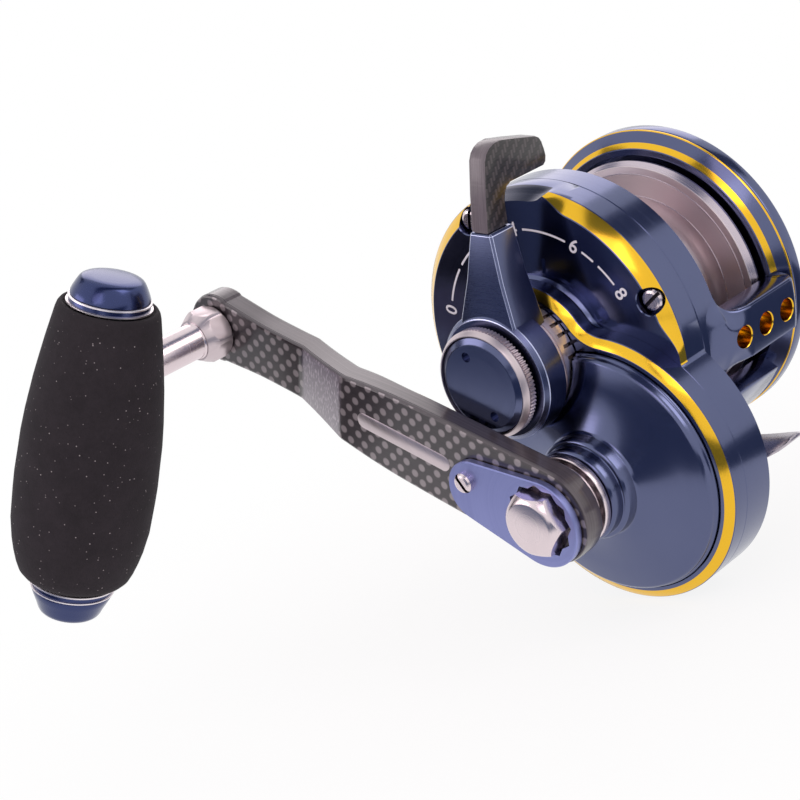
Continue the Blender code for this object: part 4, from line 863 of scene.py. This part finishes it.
stations = [(-ARM_TAIL * cos(radians(a)), ARM_TAIL * sin(radians(a))) for a in range(6, 90, 6)]
stations += [(ARM_NECK * i / 90, arm_half(ARM_NECK * i / 90)) for i in range(91)]
stations += [(EYE_AT + EYE * cos(radians(a)), EYE * sin(radians(a))) for a in range(102, 4, -6)]
loops = []
for y, h in stations:
    back = ARM_BACK - 0.8 * ease((y - 38) / 14)
    section = [(back, 0.55 - h), (back + 0.15, 0.18 - h), (back + 0.55, -h), (51.3, -h), (51.42, 0.1 - h),
               (51.55, 0.1 - h), (51.95, 0.35 - h), (52.1, 0.75 - h)]
    loops.append([(x - arm_drop(y), y, z) for x, z in section + [(x, -z) for x, z in reversed(section)]])
work = bmesh.new()
arm_place = work.verts.layers.float_vector.new("arm_place")
stack(work, loops)
for v in work.verts:
    v[arm_place] = (v.co.y, v.co.z, v.co.x + arm_drop(v.co.y) - ARM_BACK)
lay(work, work.verts, ARM, GEAR)
fit(solid("arm", work, [carbon]), "crank", "carbon_laminate", "handle_arm", smooth=20)


# Arm plate: a bare satin steel capsule let into the arm's face.
# It is stamped from thin steel and glued in.


# The outline of a belt round two discs that stand apart along y.
def belt(first, second, start, end, count=40):
    lean = acos((first - second) / (end - start))
    return ([around(first, lean + (2 * pi - 2 * lean) * i / count, (start, 0)) for i in range(count + 1)]
            + [around(second, -lean + 2 * lean * i / count, (end, 0)) for i in range(count + 1)])


work = bmesh.new()
stack(work, [[(x, y, z) for y, z in belt(r, r, 26.0, 47.6)]
             for x, r in ((52.0, 1.75), (52.15, 1.75), (52.2, 1.65))])
lay(work, work.verts, ARM, GEAR)
fit(solid("arm_capsule", work, [satin_steel]), "crank", "stainless_steel")


# Lock plate: a satin blue anodised plate that keeps the nut from turning, with its slotted screw.
# Its twelve-cornered hole fits the nut in steps of half a flat.
# Satin blue anodising: a thin dye on a blasted face, an even pale violet blue.
satin_blue = turned_metal("satin_blue_anodised", "#8a8fc4", "#9297cc", 0.42, GEAR, 0.2, 0.4)
NUT_TURN = 48.0


# A six-sided bar along x, of a width across its flats.
def hexagon(work, across, x0, x1, at, angle):
    corner = across / 2 / cos(radians(30))
    stack(work, [[(x, *around(corner, radians(60 * i + angle), at)) for i in range(6)] for x in (x0, x1)])


work = bmesh.new()
stack(work, [[(x, y, z) for y, z in belt(9.2 - s, 6.6 - s, 0.0, 16.4)] for x, s in
             ((52.4, 0), (53.7, 0), (53.9, 0.2))])
lay(work, work.verts, ARM + 2.1, (GEAR[0] - 0.4, GEAR[1] - 0.8))
lock = solid("lock_plate", work, [satin_blue])
stars = []
for turn in (0, 30):
    star = bmesh.new()
    hexagon(star, 13.4, 51, 56, GEAR, NUT_TURN + turn)
    stars.append(solid("star", star, [satin_blue]))
fit(carve(lock, stars), "crank", "navy_anodised", "arm_lock_plate")
slotted_screw("lock_screw", around(18.6, radians(ARM), GEAR), 55.3, 1, "crank", "lock_plate_screw",
              radians(115), 2.15)


# Handle nut: a turned and polished steel hexagon with a broad turned chamfer.
# It screws on the end of the drive shaft and holds the arm.
work = bmesh.new()
hexagon(work, 12.0, 52.4, 57.4, GEAR, NUT_TURN)
nut = solid("nut", work, [steel_gear])
round_off = bmesh.new()
spun(round_off, [(57.4, 0), (57.4, 5.0), (57.3, 5.3), (56.9, 5.9), (56.2, 6.6), (55.6, 7.1), (52.4, 7.1),
                 (52.4, 0)], GEAR, 128, False)
fit(carve(nut, [solid("round_off", round_off, [steel_gear])], "INTERSECT"),
    "crank", "stainless_steel", "handle_nut")


# Knob spindle: a steel pin with satin spanner flats at the arm and a plain polished stem into the knob.
# Its stud goes through the arm's eye and is riveted there.
KNOB = (-73.706, 52.602)
# Its steel is the polished stainless, with the turning marks round the spindle.
steel_knob = turned_metal("polished_stainless_knob", "#e9dade", "#dccdd2", 0.24, KNOB)
work = bmesh.new()
hexagon(work, 11.0, 48.4, 55.1, KNOB, ARM + 10)
flats = solid("spindle_flats", work, [satin_steel])
round_off = bmesh.new()
spun(round_off, [(55.1, 0), (55.1, 4.6), (52.6, 6.1), (49.2, 6.1), (48.4, 5.4), (48.4, 0)], KNOB, 96, False)
fit(carve(flats, [solid("round_off", round_off, [satin_steel])], "INTERSECT"), "crank", "stainless_steel")
work = bmesh.new()
spun(work, [(76.0, 0), (76.0, 2.4), (71.0, 2.4), (71.0, 4.0), (55.4, 4.0), (54.9, 4.5), (54.0, 4.5),
            (54.0, 0)], KNOB, 128, False)
soften(work, 0.1)
fit(solid("spindle_stem", work, [steel_knob]), "crank", "stainless_steel", "knob_spindle")


# Grip: a barrel of fine black EVA foam, moulded soft at its ends and slid over the knob's core.
# It stands canted on the spindle, and its hole takes the core's sleeve.
HANDLE, CANT, GRIP_OUT = 65.2, 15.1, 82.4
CORE_BORE = 6.1
# EVA foam: a dull black with cells of about 0.4 mm, mottled by patches of about 8 mm and finer.
# Pale dust motes of about 0.3 mm are scattered over it, a millimetre or more apart.
FOAM_CELLS, FOAM_PATCHES, MOTE_PITCH = 2600.0, 120.0, 1.0
foam = bpy.data.materials.new("black_eva_foam")
foam.use_nodes = True
tree = foam.node_tree
place = node(tree, "TexCoord", {}).outputs["Object"]
pores = node(tree, "TexNoise", {"Vector": place, "Scale": FOAM_CELLS, "Detail": 4.0})
patch = node(tree, "TexNoise", {"Vector": place, "Scale": FOAM_PATCHES, "Detail": 9.0, "Roughness": 0.85})
dust = node(tree, "TexVoronoi", {"Vector": place, "Scale": 1000 / MOTE_PITCH})
spot = node(tree, "MapRange", {0: dust.outputs["Distance"], 1: 0.09, 2: 0.17, 3: 1.0, 4: 0.0})
dust_red = node(tree, "SeparateColor", {0: dust.outputs["Color"]}).outputs[0]
rare = node(tree, "MapRange", {0: dust_red, 1: 0.64, 2: 0.94})
grain = node(tree, "Mix", {0: patch.outputs["Fac"], 6: linear("#0e0b0e"), 7: linear("#383238")},
             data_type="RGBA")
mote = node(tree, "Math", {0: spot.outputs[0], 1: rare.outputs[0]}, operation="MULTIPLY")
foam_tone = node(tree, "Mix", {0: mote.outputs[0], 6: grain.outputs[2], 7: linear("#a09a9c")},
                 data_type="RGBA")
cells = node(tree, "Bump", {"Height": pores.outputs["Fac"], "Strength": 0.35, "Distance": 0.0001})
shader = tree.nodes["Principled BSDF"]
tree.links.new(foam_tone.outputs[2], shader.inputs["Base Color"])
tree.links.new(cells.outputs[0], shader.inputs["Normal"])
shader.inputs["Roughness"].default_value = 0.85
shader.inputs["Specular IOR Level"].default_value = 0.3


# Sets what was turned about x on the knob's canted axis.
def along_knob(work):
    bmesh.ops.rotate(work, matrix=Matrix.Rotation(radians(90 + CANT), 3, "Z"), verts=work.verts)
    bmesh.ops.translate(work, vec=(GRIP_OUT, 0, 0), verts=work.verts)
    lay(work, work.verts, HANDLE, KNOB)


barrel = [(18.5, 9.4), (18.85, 9.6), (18.95, 9.9), (18.8, 10.35), (18.2, 10.75), (17.2, 11.05), (14.0, 11.65),
          (10.5, 12.3), (5.3, 13.15), (1.4, 13.75), (-5.9, 14.6), (-11.0, 15.0), (-16.0, 15.14),
          (-20.3, 15.28), (-24.0, 15.22), (-27.7, 15.08), (-31.0, 14.95), (-35.5, 14.26), (-38.2, 13.62),
          (-40.6, 12.88), (-42.2, 12.2), (-43.2, 11.3), (-43.75, 10.4), (-43.9, 9.5)]
work = bmesh.new()
spun(work, barrel + [(-43.9, CORE_BORE), (18.5, CORE_BORE)], (0, 0), 160)
along_knob(work)
grip = solid("foam_grip", work, [foam])
fit(carve(grip, [drill(60, 90, 7.3, KNOB, foam, 64)]), "knob", "black_foam", "grip", smooth=60)


# Grip caps and rings: turned navy caps that screw into the core over thin bright rings.
# Each ring shows as two bright lines, and the groove between them is painted in the cap's navy as painted
# shade.
# Cap anodising: a deeper navy than the reel's, smooth and even.
cap_navy = turned_metal("navy_anodised_cap", "#363e66", "#3e466e", 0.24, (0, 0), 0.2)
# Bright ring: bare aluminium with a fine turned finish, pale all round.
bright_ring = turned_metal("bright_turned_ring", "#f4edf0", "#eae2e6", 0.38, (0, 0))
# Each end has where its two lines and its cap begin, the cap's height, and what is added to its radius.
for name, first, second, base, tall, wide in (("upper", 18.95, 20.25, 20.75, 4.55, 0.0),
                                              ("lower", -44.55, -46.1, -46.6, -6.4, 0.4)):
    way = 1 if tall > 0 else -1
    work = bmesh.new()
    spun(work, [(first, CORE_BORE), (first, 9.0 + wide), (first + way * 0.1, 9.1 + wide),
                (first + way * 0.4, 9.1 + wide), (first + way * 0.48, 8.6 + wide), (second, 8.5 + wide),
                (second + way * 0.08, 8.8 + wide), (second + way * 0.36, 8.75 + wide),
                (second + way * 0.44, 8.6 + wide), (second + way * 0.44, CORE_BORE)], (0, 0), 160)
    # The groove between the two lines is painted in the cap's navy as painted shade.
    paint(work, 1, lambda c: hypot(c.y, c.z) > 8.0 and abs(c.x - (first + second) / 2 - way * 0.24) < 0.3)
    along_knob(work)
    fit(solid("bright_ring_" + name, work, [bright_ring, cap_navy]), "knob", "stainless_steel",
        "grip_ring_" + name)
    work = bmesh.new()
    spun(work, [(base + tall * s, r) for s, r in
                ((0.0, CORE_BORE), (0.0, 8.3 + wide), (0.03, 8.45 + wide), (0.10, 8.4 + wide),
                 (0.3, 8.05 + wide / 2), (0.55, 7.5), (0.75, 7.0), (0.84, 6.65), (0.90, 6.2), (0.95, 5.5),
                 (0.98, 4.4), (1.0, 0))], (0, 0), 160, False)
    along_knob(work)
    fit(solid("knob_cap_" + name, work, [cap_navy]), "knob", "navy_anodised", "grip_cap_" + name, smooth=40)


# Knob core: a steel rod through the foam with a cross sleeve that turns on the spindle.
# The sleeve starts inside the foam, and a ball bearing closes it round the stem.
work = bmesh.new()
spun(work, [(-46.5, 0), (-46.5, 5.8), (20.7, 5.8), (20.7, 0)], (0, 0), 96, False)
along_knob(work)
core = solid("knob_core_rod", work, [steel_knob])
fit(carve(carve(core, [drill(71.2, 88.9, 7.0, KNOB, steel_knob, 96)], "UNION"),
          [drill(70.0, 86.9, 5.3, KNOB, steel_knob, 96)]), "knob", "stainless_steel", "knob_core")
# Ground bearing steel: a neutral mid grey, smooth and cold beside the stainless.
bearing_steel = turned_metal("ground_bearing_steel", "#a8a8aa", "#98989c", 0.2, KNOB)
work = bmesh.new()
spun(work, [(71.5, 2.7), (71.5, 5.2), (75.2, 5.2), (75.2, 2.7)], KNOB, 96)
fit(solid("knob_bearing", work, [bearing_steel]), "knob", "bearing_steel", "knob_bearing_inner")


# Inner pieces: bearings, shafts, gears and drag stack, ground, hobbed or pressed in the real reel.
# They sit inside the frame, the foot and the knob and keep their machined solids.
# Hobbed bronze: a yellow brown with a soft shine on the teeth.
gear_bronze = turned_metal("hobbed_bronze", "#b88a48", "#a87a3c", 0.3, GEAR)
# Friction weave: pressed carbon cloth, dull and nearly black.
friction = turned_metal("carbon_friction_weave", "#2a2a2a", "#363636", 0.6, SPOOL)
inner = {bearing_steel: ("left_bearing", "roller_clutch", "outer_drive_bearing", "inner_drive_bearing",
                         "pinion_bearing", "spool_bearing_left", "spool_bearing_right", "knob_bearing_outer"),
         gear_bronze: ("pinion_gear", "main_gear"),
         friction: ("drag_washer",),
         steel: ("spool_shaft", "spring_washer_1", "spring_washer_2", "drag_plate", "drag_disc",
                 "foot_screw_1", "foot_screw_2"),
         steel_gear: ("drive_shaft",),
         steel_knob: ("spindle_screw",)}
for look, names in inner.items():
    for name in names:
        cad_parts[name].data.materials.clear()
        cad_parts[name].data.materials.append(look)
